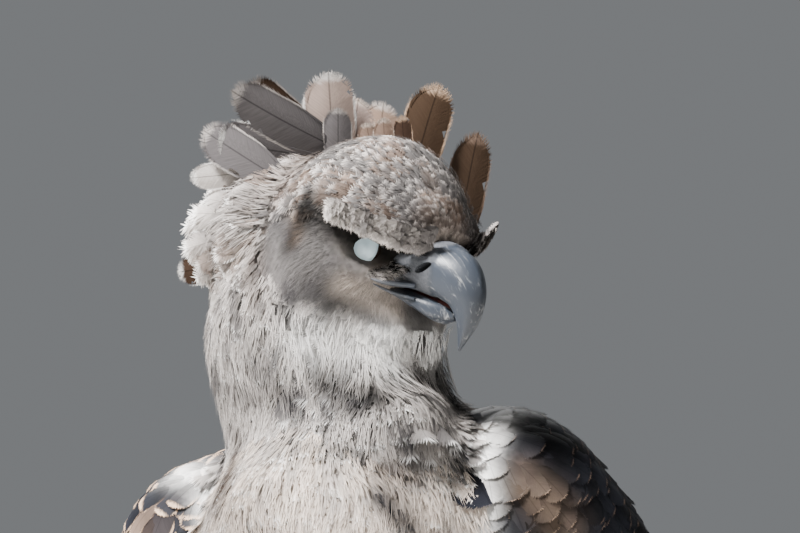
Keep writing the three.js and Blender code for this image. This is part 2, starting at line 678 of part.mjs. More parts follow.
const eyesGrown = both((side) => eye(side, GAP));
const billGrown = upperBill(GAP);
const headGrown = headCore(GAP);
const torsoGrown = torso(GAP);
const neckGrown = neck(GAP);
add('head', cut(head([neckGrown, torsoGrown]), [...eyesGrown, ...both(crease)]), HEAD_GREY);
add('upper_bill', cut(upperBill(0), [headGrown, ...both(nostril)]), HORN);
add('lower_bill', cut(lowerBill(0), [headGrown, billGrown]), HORN);
add('neck', cut(neck(0), [headGrown, torsoGrown]), PALE);
add('torso', torso(0), PALE);
add('tail', cut(feathered(tailCore(0), [...rectrices(), ...tailCoverts()]), [torsoGrown]), BARRED);
for (const [name, side] of SIDES) {
  const thighGrown = thighCore(side, GAP);
  const winged = wing(name, side, [thighGrown, tailCore(GAP)]);
  add(`eye_${name}`, eye(side, 0), EYE_COLOUR);
  add(`wing_${name}`, cut(winged, [beyondMiddle(side), torsoGrown, neckGrown]), SLATE);
  add(`thigh_${name}`, cut(thighCore(side, 0), [torsoGrown, wingCore(name, side, GAP), tailCore(GAP)]), BARRED);
  add(`tarsus_${name}`, cut(tarsus(side, 0), [thighGrown]), YELLOW_SKIN);
  add(`foot_${name}`, cut(foot(side, 0), [tarsus(side, GAP), ground]), YELLOW_SKIN);
  for (const row of TOES) {
    add(`claw_${row[0]}_${name}`, cut(claw(side, row, 0), [foot(side, GAP)]), HORN);
  }
}

// The origin is under the middle of the whole bird, on the ground.
const extent = new THREE.Box3().setFromObject(eagle);
const middle = extent.getCenter(V());
eagle.position.set(-middle.x, -middle.y, -extent.min.z);

export default eagle;
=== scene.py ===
"""Harpy eagle, life size: plumage, bill, eyes, legs and claws over the solid frame.

Places are given in millimetres in the bird's own axes, as it was designed: +Z up, the chest looks towards
-Y and the bird's left side is +X. to_frame() turns them into the frame's metres.
"""

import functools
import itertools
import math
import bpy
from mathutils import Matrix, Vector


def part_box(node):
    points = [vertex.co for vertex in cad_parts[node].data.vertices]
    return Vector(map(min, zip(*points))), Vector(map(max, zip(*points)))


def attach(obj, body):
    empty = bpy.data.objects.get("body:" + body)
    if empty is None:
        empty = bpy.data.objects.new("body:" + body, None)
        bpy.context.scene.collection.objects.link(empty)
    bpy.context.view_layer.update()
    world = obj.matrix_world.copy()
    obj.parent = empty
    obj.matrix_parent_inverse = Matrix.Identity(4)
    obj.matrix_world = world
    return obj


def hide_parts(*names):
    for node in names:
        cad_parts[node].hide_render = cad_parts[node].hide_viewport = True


bl_info = {
    "name": "Harpy Eagle",
    "version": (1, 0, 0),
    "blender": (4, 5, 0),
    "location": "View3D > Sidebar > Eagle",
    "description": "Builds the plumage, bill, eyes, legs and claws of a life-size harpy eagle",
    "category": "Add Mesh",
}

import bpy
import numpy as np
from mathutils import Vector

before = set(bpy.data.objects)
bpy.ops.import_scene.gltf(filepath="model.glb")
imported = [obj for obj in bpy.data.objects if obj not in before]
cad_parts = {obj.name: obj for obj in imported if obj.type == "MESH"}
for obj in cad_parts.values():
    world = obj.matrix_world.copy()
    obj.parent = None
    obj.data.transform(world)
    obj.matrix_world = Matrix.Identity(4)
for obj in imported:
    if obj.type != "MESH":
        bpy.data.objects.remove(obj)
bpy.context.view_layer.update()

SIDES = (("left", 1), ("right", -1))
UP, FRONT = np.array([0, 0, 1.0]), np.array([0, -1.0, 0])
MM = 0.001

# Sizes that the solids share
TRUNK_PITCH = 47  # degrees that the back slopes down towards the tail
HEAD_YAW = 67  # degrees that the head is turned to the bird's left
HEAD_PITCH = 15  # degrees that the bill points down
HEAD_CENTRE = (4, -115, 600)
EYE_RADIUS = 13
EYE_PLACE = (18.5, -25, -2)  # left eye, in the head's own axes
EYE_OUTWARD = 48  # degrees that each eye looks forward of straight sideways
LID = {"half": 10.5, "height": 5.6, "slant": 14}
SHOULDER = {
    "left": {"joint": (64, -82, 466), "radii": (44, 46, 50), "arm": (42, -42, 421)},
    "right": {"joint": (-97, -84, 453), "radii": (38, 48, 42), "arm": (-52, -42, 413)},
}
WING_AXIS = (50, -24, 392)  # middle of the wing's coverts
CROP = (32, -168, 498)  # middle of the bulge of the crop
WING_END = (28, 318, 116)  # tip of the longest primary, left side
TAIL = {"root": (0, 118, 186), "pitch": 26.2, "length": 376, "feathers": 12, "spread": 1.7, "step": 1.6,
        "width": 48}
HIP_WIDTH = 66
TOE_RADIUS = 12


# Vectors and places
def rad(degrees):
    return math.radians(degrees)


def unit(v):
    return v / np.maximum(np.linalg.norm(v, axis=-1, keepdims=True), 1e-9)


def lerp(a, b, t):
    return a + (b - a) * t


def smooth(x, low, high):
    """0 below low, 1 above high and an even slope between."""
    t = np.clip((x - low) / (high - low), 0, 1)
    return t * t * (3 - 2 * t)


def heading_at(azimuth, rise):
    """The way that leads round from the bird's front to its left by azimuth degrees and up by rise."""
    a, r = rad(azimuth), rad(rise)
    return Vector((math.sin(a) * math.cos(r), -math.cos(a) * math.cos(r), math.sin(r)))


def mirrored(point, side):
    return np.array([point[0] * side, point[1], point[2]], float)


def turn_z(degrees):
    c, s = math.cos(rad(degrees)), math.sin(rad(degrees))
    return np.array([[c, -s, 0], [s, c, 0], [0, 0, 1]])


def turn_x(degrees):
    c, s = math.cos(rad(degrees)), math.sin(rad(degrees))
    return np.array([[1, 0, 0], [0, c, -s], [0, s, c]])


HEAD_TURN = turn_z(HEAD_YAW) @ turn_x(HEAD_PITCH)


def from_head(p):
    """Head axes (+X its left, -Y where the bill points, +Z up) to the bird's axes."""
    return np.asarray(p, float) @ HEAD_TURN.T + np.array(HEAD_CENTRE)


def to_head(p):
    return (np.asarray(p, float) - np.array(HEAD_CENTRE)) @ HEAD_TURN


def frame_shift():
    """The frame's origin is under the middle of the bird. The eye tells how far the design was moved."""
    low, high = (np.array(corner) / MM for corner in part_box("eye_left"))
    return (low + high) / 2 - from_head(EYE_PLACE)


SHIFT = frame_shift()
FLOOR = -SHIFT[2]


def to_frame(p):
    return (np.asarray(p, float) + SHIFT) * MM


# Rounded bodies as distance fields
def ellipsoid(centre, radii, pitch=0):
    """Negative inside. Radii are across, along and square to the axis that slopes down by pitch degrees."""
    centre, radii = np.array(centre, float), np.array(radii, float)
    turn = turn_x(pitch).T

    def field(p):
        near = ((p - centre) @ turn) / radii
        k = np.linalg.norm(near, axis=-1)
        far = np.linalg.norm(near / radii, axis=-1)
        return np.where(far < 1e-9, -radii.min(), k * (k - 1) / np.maximum(far, 1e-9))

    return field


def capsule(start, end, start_radius, end_radius):
    a, b = np.array(start, float), np.array(end, float)
    axis = b - a

    def field(p):
        t = np.clip((p - a) @ axis / (axis @ axis), 0, 1)
        centre = a + t[..., None] * axis
        return np.linalg.norm(p - centre, axis=-1) - lerp(start_radius, end_radius, t)

    return field


def smooth_min(a, b, k):
    h = np.maximum(k - np.abs(a - b), 0) / k
    return np.minimum(a, b) - h * h * k / 4


def blended(k, *fields):
    def field(p):
        out = fields[0](p)
        for other in fields[1:]:
            out = smooth_min(out, other(p), k)
        return out

    return field


def line(p, start, end, radius, normal=None):
    """1 on a straight path, fading to nothing at about twice the radius. Where normals are given, most of
    the height over the path is left out, so that a mark reaches down into the coat."""
    a, b = np.array(start, float), np.array(end, float)
    t = np.clip((p - a) @ (b - a) / ((b - a) @ (b - a)), 0, 1)
    off = p - a - t[..., None] * (b - a)
    if normal is not None:
        off = off - normal * ((off * normal).sum(axis=-1, keepdims=True) * 0.85)
    return np.exp(-(off * off).sum(axis=-1) / radius ** 2)


def both(make):
    return [make(1), make(-1)]


def slope_of(field, p, step=0.5):
    """The direction in which a field grows, which is outwards on its surface."""
    out = np.empty_like(p)
    for axis in range(3):
        d = np.zeros(3)
        d[axis] = step
        out[..., axis] = field(p + d) - field(p - d)
    return unit(out)


head_shape = blended(
    14,
    ellipsoid((0, 0, -2), (52, 54, 42)),
    ellipsoid((0, -12, 15), (41, 42, 36)),
    *both(lambda side: ellipsoid((28 * side, -6, -20), (31, 33, 33))),
    ellipsoid((0, 40, -13), (68, 32, 52)),
    ellipsoid((0, -26, -40), (33, 32, 25)),
    ellipsoid((0, -32, -6), (13, 13, 11)),
    ellipsoid((0, -42, 14), (19, 17, 15)),
    *both(lambda side: capsule((13 * side, -55, 5), (30 * side, -37, 9), 3.5, 5)),
    *both(lambda side: capsule((30 * side, -37, 9), (44 * side, -8, 14), 5, 6)),
)
# Hollows of the face: round the eye, and before it towards the bill
SOCKETS = (((33, -42, -2), (13, 13, 8.5)), ((23, -53, -4), (11, 8, 5)))


def head_field(p):
    return head_shape(to_head(p))


neck_field = blended(
    24,
    ellipsoid((-20, -112, 552), (60, 60, 60)),
    ellipsoid((-10, -106, 510), (58, 58, 50)),
    ellipsoid((-2, -98, 472), (72, 64, 46)),
    ellipsoid((26, -140, 500), (35, 33, 32)),
)
torso_field = blended(
    30,
    ellipsoid((0, -92, 425), (88, 112, 84), TRUNK_PITCH),
    ellipsoid((0, -12, 322), (90, 128, 84), TRUNK_PITCH),
    ellipsoid((0, 66, 240), (62, 78, 52), TRUNK_PITCH),
    ellipsoid((0, -14, 384), (58, 148, 88), TRUNK_PITCH),
    ellipsoid((0, 112, 228), (46, 84, 40), 42),
)


def wing_field(name, side):
    return blended(
        22,
        ellipsoid(SHOULDER[name]["joint"], SHOULDER[name]["radii"]),
        ellipsoid(SHOULDER[name]["arm"], (86, 112, 78), TRUNK_PITCH),
        ellipsoid((36 * side, 44, 334), (84, 132, 72), TRUNK_PITCH),
        ellipsoid((66 * side, 112, 256), (26, 84, 38), 40),
    )


def ankle(side):
    return (64 * side, 32, 106)


def thigh_field(side):
    return blended(
        20,
        capsule((54 * side, -6, 252), (60 * side, 16, 178), 62, 48),
        capsule((60 * side, 16, 178), ankle(side), 48, 29),
    )


tail_field = ellipsoid((0, 146, 168), (42, 78, 21), 31)


# Each part of the flesh: its field, a point inside that sees all of its surface, and its coat's depth
PARTS = {
    "head": (head_field, from_head((0, -12, -4)), 4.5),
    "neck": (neck_field, (-8, -108, 515), 8),
    "torso": (torso_field, (0, -4, 326), 8),
    "wing_left": (wing_field("left", 1), (54, 14, 356), 3.5),
    "wing_right": (wing_field("right", -1), (-54, 14, 356), 3.5),
    "thigh_left": (thigh_field(1), (58, 14, 190), 8),
    "thigh_right": (thigh_field(-1), (-58, 14, 190), 8),
    "tail": (tail_field, (0, 146, 168), 6),
}
PART_NAMES = list(PARTS)
RUFF_DEPTH = 7.0  # how much deeper the coat is at the back of the head
COAT_DEPTH = np.array([PARTS[name][2] for name in PART_NAMES], float)


def part_distances(p):
    return np.stack([PARTS[name][0](p) for name in PART_NAMES], axis=-1)


def shares_of(distances, blur=6.0):
    """How much each part counts at a point: 1 well inside its own surface, shared where parts meet."""
    weight = np.exp(-(distances - distances.min(axis=-1, keepdims=True)) / blur)
    return weight / weight.sum(axis=-1, keepdims=True)


# Folds and hollows of the coat, as grooves along short paths: start, end, radius and depth
GROOVES = (
    ((16, -196, 470), (-6, -196, 395), 13, 7),  # between the two halves of the breast
    ((6, -173, 526), (34, -167, 522), 7, 9),  # under the throat
    ((34, -167, 522), (50, -112, 531), 7, 9),
    ((-32, -172, 538), (6, -173, 526), 6, 5),
    ((-60, -150, 520), (18, -173, 512), 6, 4),  # folds across the front of the neck
    ((-24, -176, 496), (25, -176, 494), 5, 5),
    ((22, -174, 518), (28, -176, 480), 6, 6),  # round the crop
    ((28, -176, 480), (49, -168, 479), 6, 5),
    ((49, -168, 479), (62, -146, 490), 6, 5),
    ((42, -176, 473), (55, -168, 458), 5, 5),
    ((-50, -166, 486), (-56, -160, 470), 7, 6),  # between neck and right shoulder
    ((46, -102, 535), (60, -108, 514), 7, 5),
)
# The same on both sides of the head, in its own axes
HEAD_GROOVES = (
    ((50, -11, 21), (58, -8, -5), 5, 4),  # between crown and face
    ((58, -8, -5), (62, 0, -34), 6, 3),
    ((44, -36, -33), (18, -52, -35), 3.5, 2.5),  # back from the corner of the mouth
)


def groove_depth(p):
    out = np.zeros(p.shape[:-1])
    for start, end, radius, depth in GROOVES:
        out = np.maximum(out, 0.7 * depth * line(p, start, end, radius))
    h = to_head(p)
    h[..., 0] = np.abs(h[..., 0])
    for start, end, radius, depth in HEAD_GROOVES:
        out = np.maximum(out, depth * line(h, start, end, radius))
    return out


def coat_depth(p, shares):
    ruff = shares[..., 0] * RUFF_DEPTH * smooth(to_head(p)[..., 1], 8, 40)
    return (shares * COAT_DEPTH).sum(axis=-1) + ruff


def carved(p, distance):
    """A distance to flesh with the hollows round the eyes taken out."""
    h = to_head(p)
    h[..., 0] = np.abs(h[..., 0])
    for centre, radii in SOCKETS:
        distance = -smooth_min(-distance, ellipsoid(centre, radii)(h), 3)
    return distance


def body_field(distances):
    out = distances[..., 0]
    for k in range(1, distances.shape[-1]):
        out = smooth_min(out, distances[..., k], 9)
    return out


def skin_field(p):
    """The skin under the coat, as one surface over all parts of the flesh."""
    distances = part_distances(p)
    out = body_field(distances) + coat_depth(p, shares_of(distances)) + groove_depth(p)
    return carved(p, out)


def to_outside(p):
    """The way out of the coat above places on the skin, and the step that leads to its outside."""
    out = slope_of(lambda q: body_field(part_distances(q)), p, 2.0)
    return out, -out * body_field(part_distances(p))[:, None]


# Meshes
def clear_selection():
    if bpy.context.object and bpy.context.object.mode != "OBJECT":
        bpy.ops.object.mode_set(mode="OBJECT")
    bpy.ops.object.select_all(action="DESELECT")


def choose(piece):
    clear_selection()
    piece.select_set(True)
    bpy.context.view_layer.objects.active = piece


def piece_from(name, points, faces, in_frame=False):
    """A new mesh object from points in design millimetres. Faces are an array of corner numbers."""
    points = np.asarray(points, float)
    if not in_frame:
        points = to_frame(points)
    faces = np.asarray(faces, np.int32)
    mesh = bpy.data.meshes.new(name)
    mesh.vertices.add(len(points))
    mesh.vertices.foreach_set("co", points.astype(np.float32).ravel())
    corners = faces.shape[1]
    mesh.loops.add(faces.size)
    mesh.loops.foreach_set("vertex_index", faces.ravel())
    mesh.polygons.add(len(faces))
    mesh.polygons.foreach_set("loop_start", np.arange(0, faces.size, corners, dtype=np.int32))
    mesh.polygons.foreach_set("use_smooth", np.ones(len(faces), bool))
    mesh.update(calc_edges=True)
    piece = bpy.data.objects.new(name, mesh)
    bpy.context.collection.objects.link(piece)
    return piece


def points_of(piece):
    """The vertices of a piece in design millimetres."""
    points = np.empty(len(piece.data.vertices) * 3, np.float32)
    piece.data.vertices.foreach_get("co", points)
    return points.reshape(-1, 3).astype(float) / MM - SHIFT


def set_points(piece, points):
    piece.data.vertices.foreach_set("co", to_frame(points).astype(np.float32).ravel())
    piece.data.update()


def modify(piece, kind, **settings):
    """Adds a modifier and applies it."""
    choose(piece)
    modifier = piece.modifiers.new(kind.title(), kind)
    for name, value in settings.items():
        setattr(modifier, name, value)
    bpy.ops.object.modifier_apply(modifier=modifier.name)
    return piece


def joined(name, pieces):
    choose(pieces[0])
    for piece in pieces[1:]:
        piece.select_set(True)
    if len(pieces) > 1:
        bpy.ops.object.join()
    pieces[0].name = name
    pieces[0].data.name = name
    return pieces[0]


def set_colour(piece, name, values):
    """A colour for each vertex, kept as bytes."""
    layer = piece.data.color_attributes.new(name, "BYTE_COLOR", "POINT")
    rgba = np.concatenate([np.clip(values, 0, 1), np.ones((len(values), 1))], axis=1)
    layer.data.foreach_set("color", rgba.astype(np.float32).ravel())


def set_vector(piece, name, values):
    layer = piece.data.attributes.new(name, "FLOAT_VECTOR", "POINT")
    layer.data.foreach_set("vector", values.astype(np.float32).ravel())


def finished(piece, material, slot, *replaced, smooth_angle=None):
    if not piece.data.polygons:
        raise RuntimeError(f"{piece.name} came out empty")
    piece.data.materials.clear()
    piece.data.materials.append(material)
    if smooth_angle is not None:
        choose(piece)
        bpy.ops.object.shade_smooth_by_angle(angle=rad(smooth_angle), keep_sharp_edges=False)
    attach(piece, "root")
    if replaced:
        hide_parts(*replaced)
    return piece


def loft(name, sections, closed_ends=True):
    """A skin through rings of points that all have the same count."""
    sections = np.asarray(sections, float)
    rows, sides = sections.shape[:2]
    index = np.arange(rows * sides).reshape(rows, sides)
    after = np.roll(index, -1, axis=1)
    quads = np.stack([index[:-1], after[:-1], after[1:], index[1:]], axis=-1).reshape(-1, 4)
    piece = piece_from(name, sections.reshape(-1, 3), quads)
    choose(piece)
    bpy.ops.object.mode_set(mode="EDIT")
    bpy.ops.mesh.select_all(action="SELECT")
    if closed_ends:
        bpy.ops.mesh.fill_holes(sides=0)
    bpy.ops.mesh.normals_make_consistent(inside=False)
    bpy.ops.object.mode_set(mode="OBJECT")
    return piece


def ring(centre, along, up, wide, high, sides):
    side = unit(np.cross(along, up))
    top = unit(np.cross(side, along))
    a = np.linspace(0, 2 * math.pi, sides, endpoint=False)[:, None]
    return np.asarray(centre, float) + side * wide * np.cos(a) + top * high * np.sin(a)


def curve_through(points, count):
    """Evenly counted places on a smooth curve through the points."""
    p = np.asarray(points, float)
    ends = np.concatenate([[2 * p[0] - p[1]], p, [2 * p[-1] - p[-2]]])
    out = []
    for t in np.linspace(0, len(p) - 1, count):
        i = min(int(t), len(p) - 2)
        u = t - i
        a, b, c, d = ends[i:i + 4]
        out.append(0.5 * (2 * b + (c - a) * u + (2 * a - 5 * b + 4 * c - d) * u * u
                          + (3 * b - a - 3 * c + d) * u ** 3))
    return np.array(out)


# Colours and materials
def srgb(text):
    """A hex colour as linear red, green and blue."""
    parts = [int(text[i:i + 2], 16) / 255 for i in (1, 3, 5)]
    return tuple(c / 12.92 if c <= 0.04045 else ((c + 0.055) / 1.055) ** 2.4 for c in parts)


def colour_prop(name, description, value):
    return bpy.props.FloatVectorProperty(
        name=name, description=description, subtype="COLOR", size=3, min=0, max=1, default=srgb(value))


def length_prop(name, description, value, low, high):
    """A length given in millimetres."""
    return bpy.props.FloatProperty(
        name=name, description=description, default=value * MM, min=low * MM, max=high * MM,
        unit="LENGTH", subtype="DISTANCE")


class EagleColours(bpy.types.PropertyGroup):
    """Colours of the plumage and the bare parts"""

    white: colour_prop("White", "Throat, neck and leading edge of the wings", "#f6f3ef")
    cream: colour_prop("Cream", "Breast and crop", "#e0d0c2")
    pearl: colour_prop("Pearl grey", "Ruff, neck, brow and pale edges", "#b9b1ab")
    ash: colour_prop("Ash grey", "Face and middles of the crown feathers", "#686462")
    taupe: colour_prop("Taupe", "Brown patches of crown, ruff and wings", "#7a6659")
    smoke: colour_prop("Smoke", "Patches of the face, grey crest and tail feathers", "#585454")
    # Slate also paints shade into the folds of the neck and the crease under the crop.
    slate: colour_prop("Slate", "Back, wings and folds of the neck", "#1e1f24")
    # Soot also stands in as painted shadow: under the brow, in the grooves round the eye and crown, under
    # the throat, in a fold of the neck and on the upper lids and lashes.
    soot: colour_prop("Soot", "Lores, under the brow and dark patches", "#0c0b09")
    buff: colour_prop("Buff", "Worn edges of the wing feathers", "#c6a88e")
    umber: colour_prop("Umber", "Bars of the flanks and breast sides", "#33261e")
    sepia: colour_prop("Sepia", "Middles of the darkest crest feathers", "#3b2d23")
    mauve: colour_prop("Mauve", "Middles of the tallest crest feathers", "#a39086")
    bill: colour_prop("Bill", "Horn of the bill", "#2f343c")
    cere: colour_prop("Cere", "Soft base of the bill", "#1b1d21")
    talon: colour_prop("Talon", "Claws", "#1d1d20")
    shank: colour_prop("Shank", "Bare legs and toes", "#cfa63a")
    membrane: colour_prop("Membrane", "Third eyelid and lids", "#cfe0e6")
    iris: colour_prop("Iris", "Ring of the eye", "#21160f")


class EagleSizes(bpy.types.PropertyGroup):
    """Lengths of the feathers of each part of the coat"""

    bristle: length_prop("Face", "Length of the hair-like feathers of the face", 8.5, 3, 15)
    crown: length_prop("Crown", "Length of the feathers of the crown", 15, 6, 30)
    ruff: length_prop("Ruff", "Length of the feathers round the face", 27, 10, 50)
    neck: length_prop("Neck", "Length of the feathers of the neck", 32, 10, 60)
    breast: length_prop("Breast", "Length of the feathers of the breast and belly", 34, 10, 60)
    covert: length_prop("Coverts", "Length of the feathers at the bend of the wing", 26, 10, 60)


def add_node(tree, kind, inputs=None, **settings):
    """Adds a shader node with its own settings. An input is a value, or a link as (node, output)."""
    node = tree.nodes.new("ShaderNode" + kind)
    for name, value in settings.items():
        setattr(node, name, value)
    for name, value in (inputs or {}).items():
        if isinstance(value, tuple) and isinstance(value[0], bpy.types.Node):
            tree.links.new(value[0].outputs[value[1]], node.inputs[name])
        else:
            node.inputs[name].default_value = value
    return node


def new_material(name, **shader):
    """A material, its principled shader, whose sockets are set by name, and what adds its nodes."""
    material = bpy.data.materials.new(name)
    material.use_nodes = True
    surface = material.node_tree.nodes["Principled BSDF"]
    for socket, value in shader.items():
        surface.inputs[socket.replace("_", " ")].default_value = value
    return material, surface, functools.partial(add_node, material.node_tree)


def clouded(add, place, size, detail, low, high):
    """Noise of about `size` millimetres, and the two colours that it mixes."""
    noise = add("TexNoise", {"Scale": 1 / (size * MM), "Detail": detail, "Vector": (place, "Object")})
    return noise, add("Mix", {"Factor": (noise, "Fac"), 6: rgba(low), 7: rgba(high)}, data_type="RGBA")


def link(source, output, target, socket):
    target.id_data.links.new(source.outputs[output], target.inputs[socket])


def rgba(colour):
    return (*colour, 1.0)


def plumage(name, roughness, shaft, fringe, streaks, relief, shown, rim_share=0.45, shaft_width=0.07,
            base=0.42):
    """Feather: keratin barbs on a shaft. The eye sees fine lines along the barbs, a darker shaft, a paler
    edge and a dull surface. shaft and fringe say how strongly those show, streaks how much barbs differ and
    relief how far they stand out in millimetres. shown is the share of a feather that the next row leaves
    bare, rim_share how much of that its edge takes, and base how bright the covered part is painted, as
    painted shade under the next row over the darker down of the root."""
    material, surface, add = new_material(name, Roughness=roughness, IOR=1.54, Specular_IOR_Level=0.06)
    bare_rim = shown * rim_share
    tint = add("Attribute", attribute_name="tint")
    edge = add("Attribute", attribute_name="edge")
    vane = add("Attribute", attribute_name="vane")
    barbs = add("Attribute", attribute_name="barbs")
    parts = add("SeparateXYZ", {"Vector": (vane, "Vector")})
    across = add("Math", {0: (parts, "X")}, operation="ABSOLUTE")

    # Barbs run out and forward from the shaft, 0.9 mm apart, which is three times as coarse as real ones.
    comb = add("TexNoise", {"Scale": 1.0, "Detail": 2.0, "Roughness": 0.6, "Vector": (barbs, "Vector")})
    lines = add("MapRange", {
        "From Min": 0.3, "From Max": 0.7, "To Min": 1 - streaks, "To Max": 1 + streaks * 0.7,
        "Value": (comb, "Fac")})

    # The pale edge is widest at the tip and frays along the barbs.
    far = add("Math", {0: (parts, "Y"), 1: (across, "Value")}, operation="MAXIMUM")
    frayed = add("Math", {
        0: (comb, "Fac"), 1: 0.8 * bare_rim, 2: -0.4 * bare_rim}, operation="MULTIPLY_ADD")
    reach = add("Math", {0: (far, "Value"), 1: (frayed, "Value")}, operation="ADD")
    rim = add("MapRange", {
        "From Min": 1 - bare_rim, "From Max": 1 - bare_rim * 0.25, "To Max": fringe,
        "Value": (reach, "Value")}, interpolation_type="SMOOTHSTEP")
    body = add("Mix", {"Factor": (rim, "Result"), 6: (tint, "Color"), 7: (edge, "Color")}, data_type="RGBA")

    spine = add("MapRange", {
        "From Min": shaft_width * 0.3, "From Max": shaft_width, "To Min": 1 - shaft, "To Max": 1.0,
        "Value": (across, "Value")}, interpolation_type="SMOOTHSTEP")
    # Painted shade: light reaches the tips of the feathers best, and their bases, which lie under the next
    # row, are painted darker; the grey down at the roots adds a real darker tone.
    depth = add("MapRange", {
        "From Min": 1 - 1.7 * shown, "From Max": 1 - 0.35 * shown, "To Min": base, "To Max": 1.0,
        "Value": (parts, "Y")})
    lined = add("Math", {0: (lines, "Result"), 1: (spine, "Result")}, operation="MULTIPLY")
    shade = add("Math", {0: (lined, "Value"), 1: (depth, "Result")}, operation="MULTIPLY")
    colour = add("VectorMath", {0: (body, 2), "Scale": (shade, "Value")}, operation="SCALE")
    link(colour, "Vector", surface, "Base Color")
    bump = add("Bump", {"Strength": 0.6, "Distance": relief * MM, "Height": (comb, "Fac")})
    link(bump, "Normal", surface, "Normal")
    return material


def coated_skin():
    """Bird skin under the coat: matt, in the coat's own colours, with the stipple of feather roots."""
    material, surface, add = new_material("feathered skin", Roughness=0.9, Specular_IOR_Level=0.05)
    tint = add("Attribute", attribute_name="tint")
    place = add("TexCoord")
    roots = add("TexVoronoi", {"Scale": 1 / (3.5 * MM), "Vector": (place, "Object")})
    shade = add("MapRange", {
        "From Min": 0.0, "From Max": 0.8, "To Min": 0.55, "To Max": 0.85, "Value": (roots, "Distance")})
    colour = add("VectorMath", {0: (tint, "Color"), "Scale": (shade, "Result")}, operation="SCALE")
    link(colour, "Vector", surface, "Base Color")
    bump = add("Bump", {"Strength": 0.4, "Distance": 0.4 * MM, "Height": (roots, "Distance")})
    link(bump, "Normal", surface, "Normal")
    return material


# Feather patterns
# A pattern is one feather in its own measures: x is -1 to 1 from edge to edge, y is 0 to 1 from its root.
def vane_width(y, blunt=0.55):
    """Half width of a rounded feather, 1 at its widest. Its tip starts to round off at blunt."""
    y = np.clip(y, 0, 1)
    rise = np.power(np.clip(y / 0.5, 0, 1), 0.55)
    tip = np.sqrt(np.clip(1 - np.square(np.clip((y - blunt) / (1 - blunt), 0, 1)), 0, 1))
    return rise * tip


def as_pattern(x, y, z, faces):
    return {"x": np.array(x), "y": np.array(y), "z": np.array(z), "faces": np.array(faces)}


def hair_pattern(rng, hairs, thick=0.10):
    """Small bundle of hair-like barbs without a shaft."""
    x, y, z = [], [], []
    for _ in range(hairs):
        foot, reach = rng.uniform(-0.4, 0.4), rng.uniform(0.6, 1.05)
        x += [foot - thick, foot + thick, foot + rng.uniform(-0.8, 0.8)]
        y += [0.0, 0.0, reach]
        z += [0.0, 0.0, rng.uniform(-0.06, 0.06)]
    return as_pattern(x, y, z, np.arange(hairs * 3).reshape(-1, 3))


def plume_pattern(rng, barbs, fray=0.10, fluff=0.03, close=3, blunt=0.6):
    """Soft feather: barbs that run out and forward from the shaft on both sides, each one long triangle
    that ends in a hair. close says over how many of its neighbours' roots the root of a barb spreads."""
    spine = np.linspace(0.0, 0.93, barbs + 1)
    x, y, z = [np.zeros(barbs + 1)], [spine], [np.zeros(barbs + 1)]
    faces = []
    for side in (1, -1):
        t = 0.10 + 0.90 * (np.arange(barbs) + 0.5 + rng.uniform(-0.3, 0.3, barbs)) / barbs
        wide = vane_width(t, blunt)
        splits = np.maximum(np.sin(2 * math.pi * (t * rng.uniform(1.5, 3.0) + rng.uniform(0, 1))), 0) ** 16
        first = (barbs + 1) + (barbs if side < 0 else 0)
        x.append(side * (wide * (1 + fray * rng.uniform(-1, 1, barbs) - 0.2 * splits) + 0.03))
        y.append(np.minimum(t + fray * 0.5 * rng.uniform(-0.4, 1, barbs), 1.06))
        z.append(fluff * rng.uniform(-1, 1, barbs))
        roots = np.round((t * 0.93 - 0.22 * wide) / 0.93 * barbs).astype(int)
        for i, root in enumerate(roots):
            a, b = max(root - close, 0), min(max(root + close, 1), barbs)
            faces.append((a, b, first + i) if side > 0 else (b, a, first + i))
    return as_pattern(np.concatenate(x), np.concatenate(y), np.concatenate(z), faces)


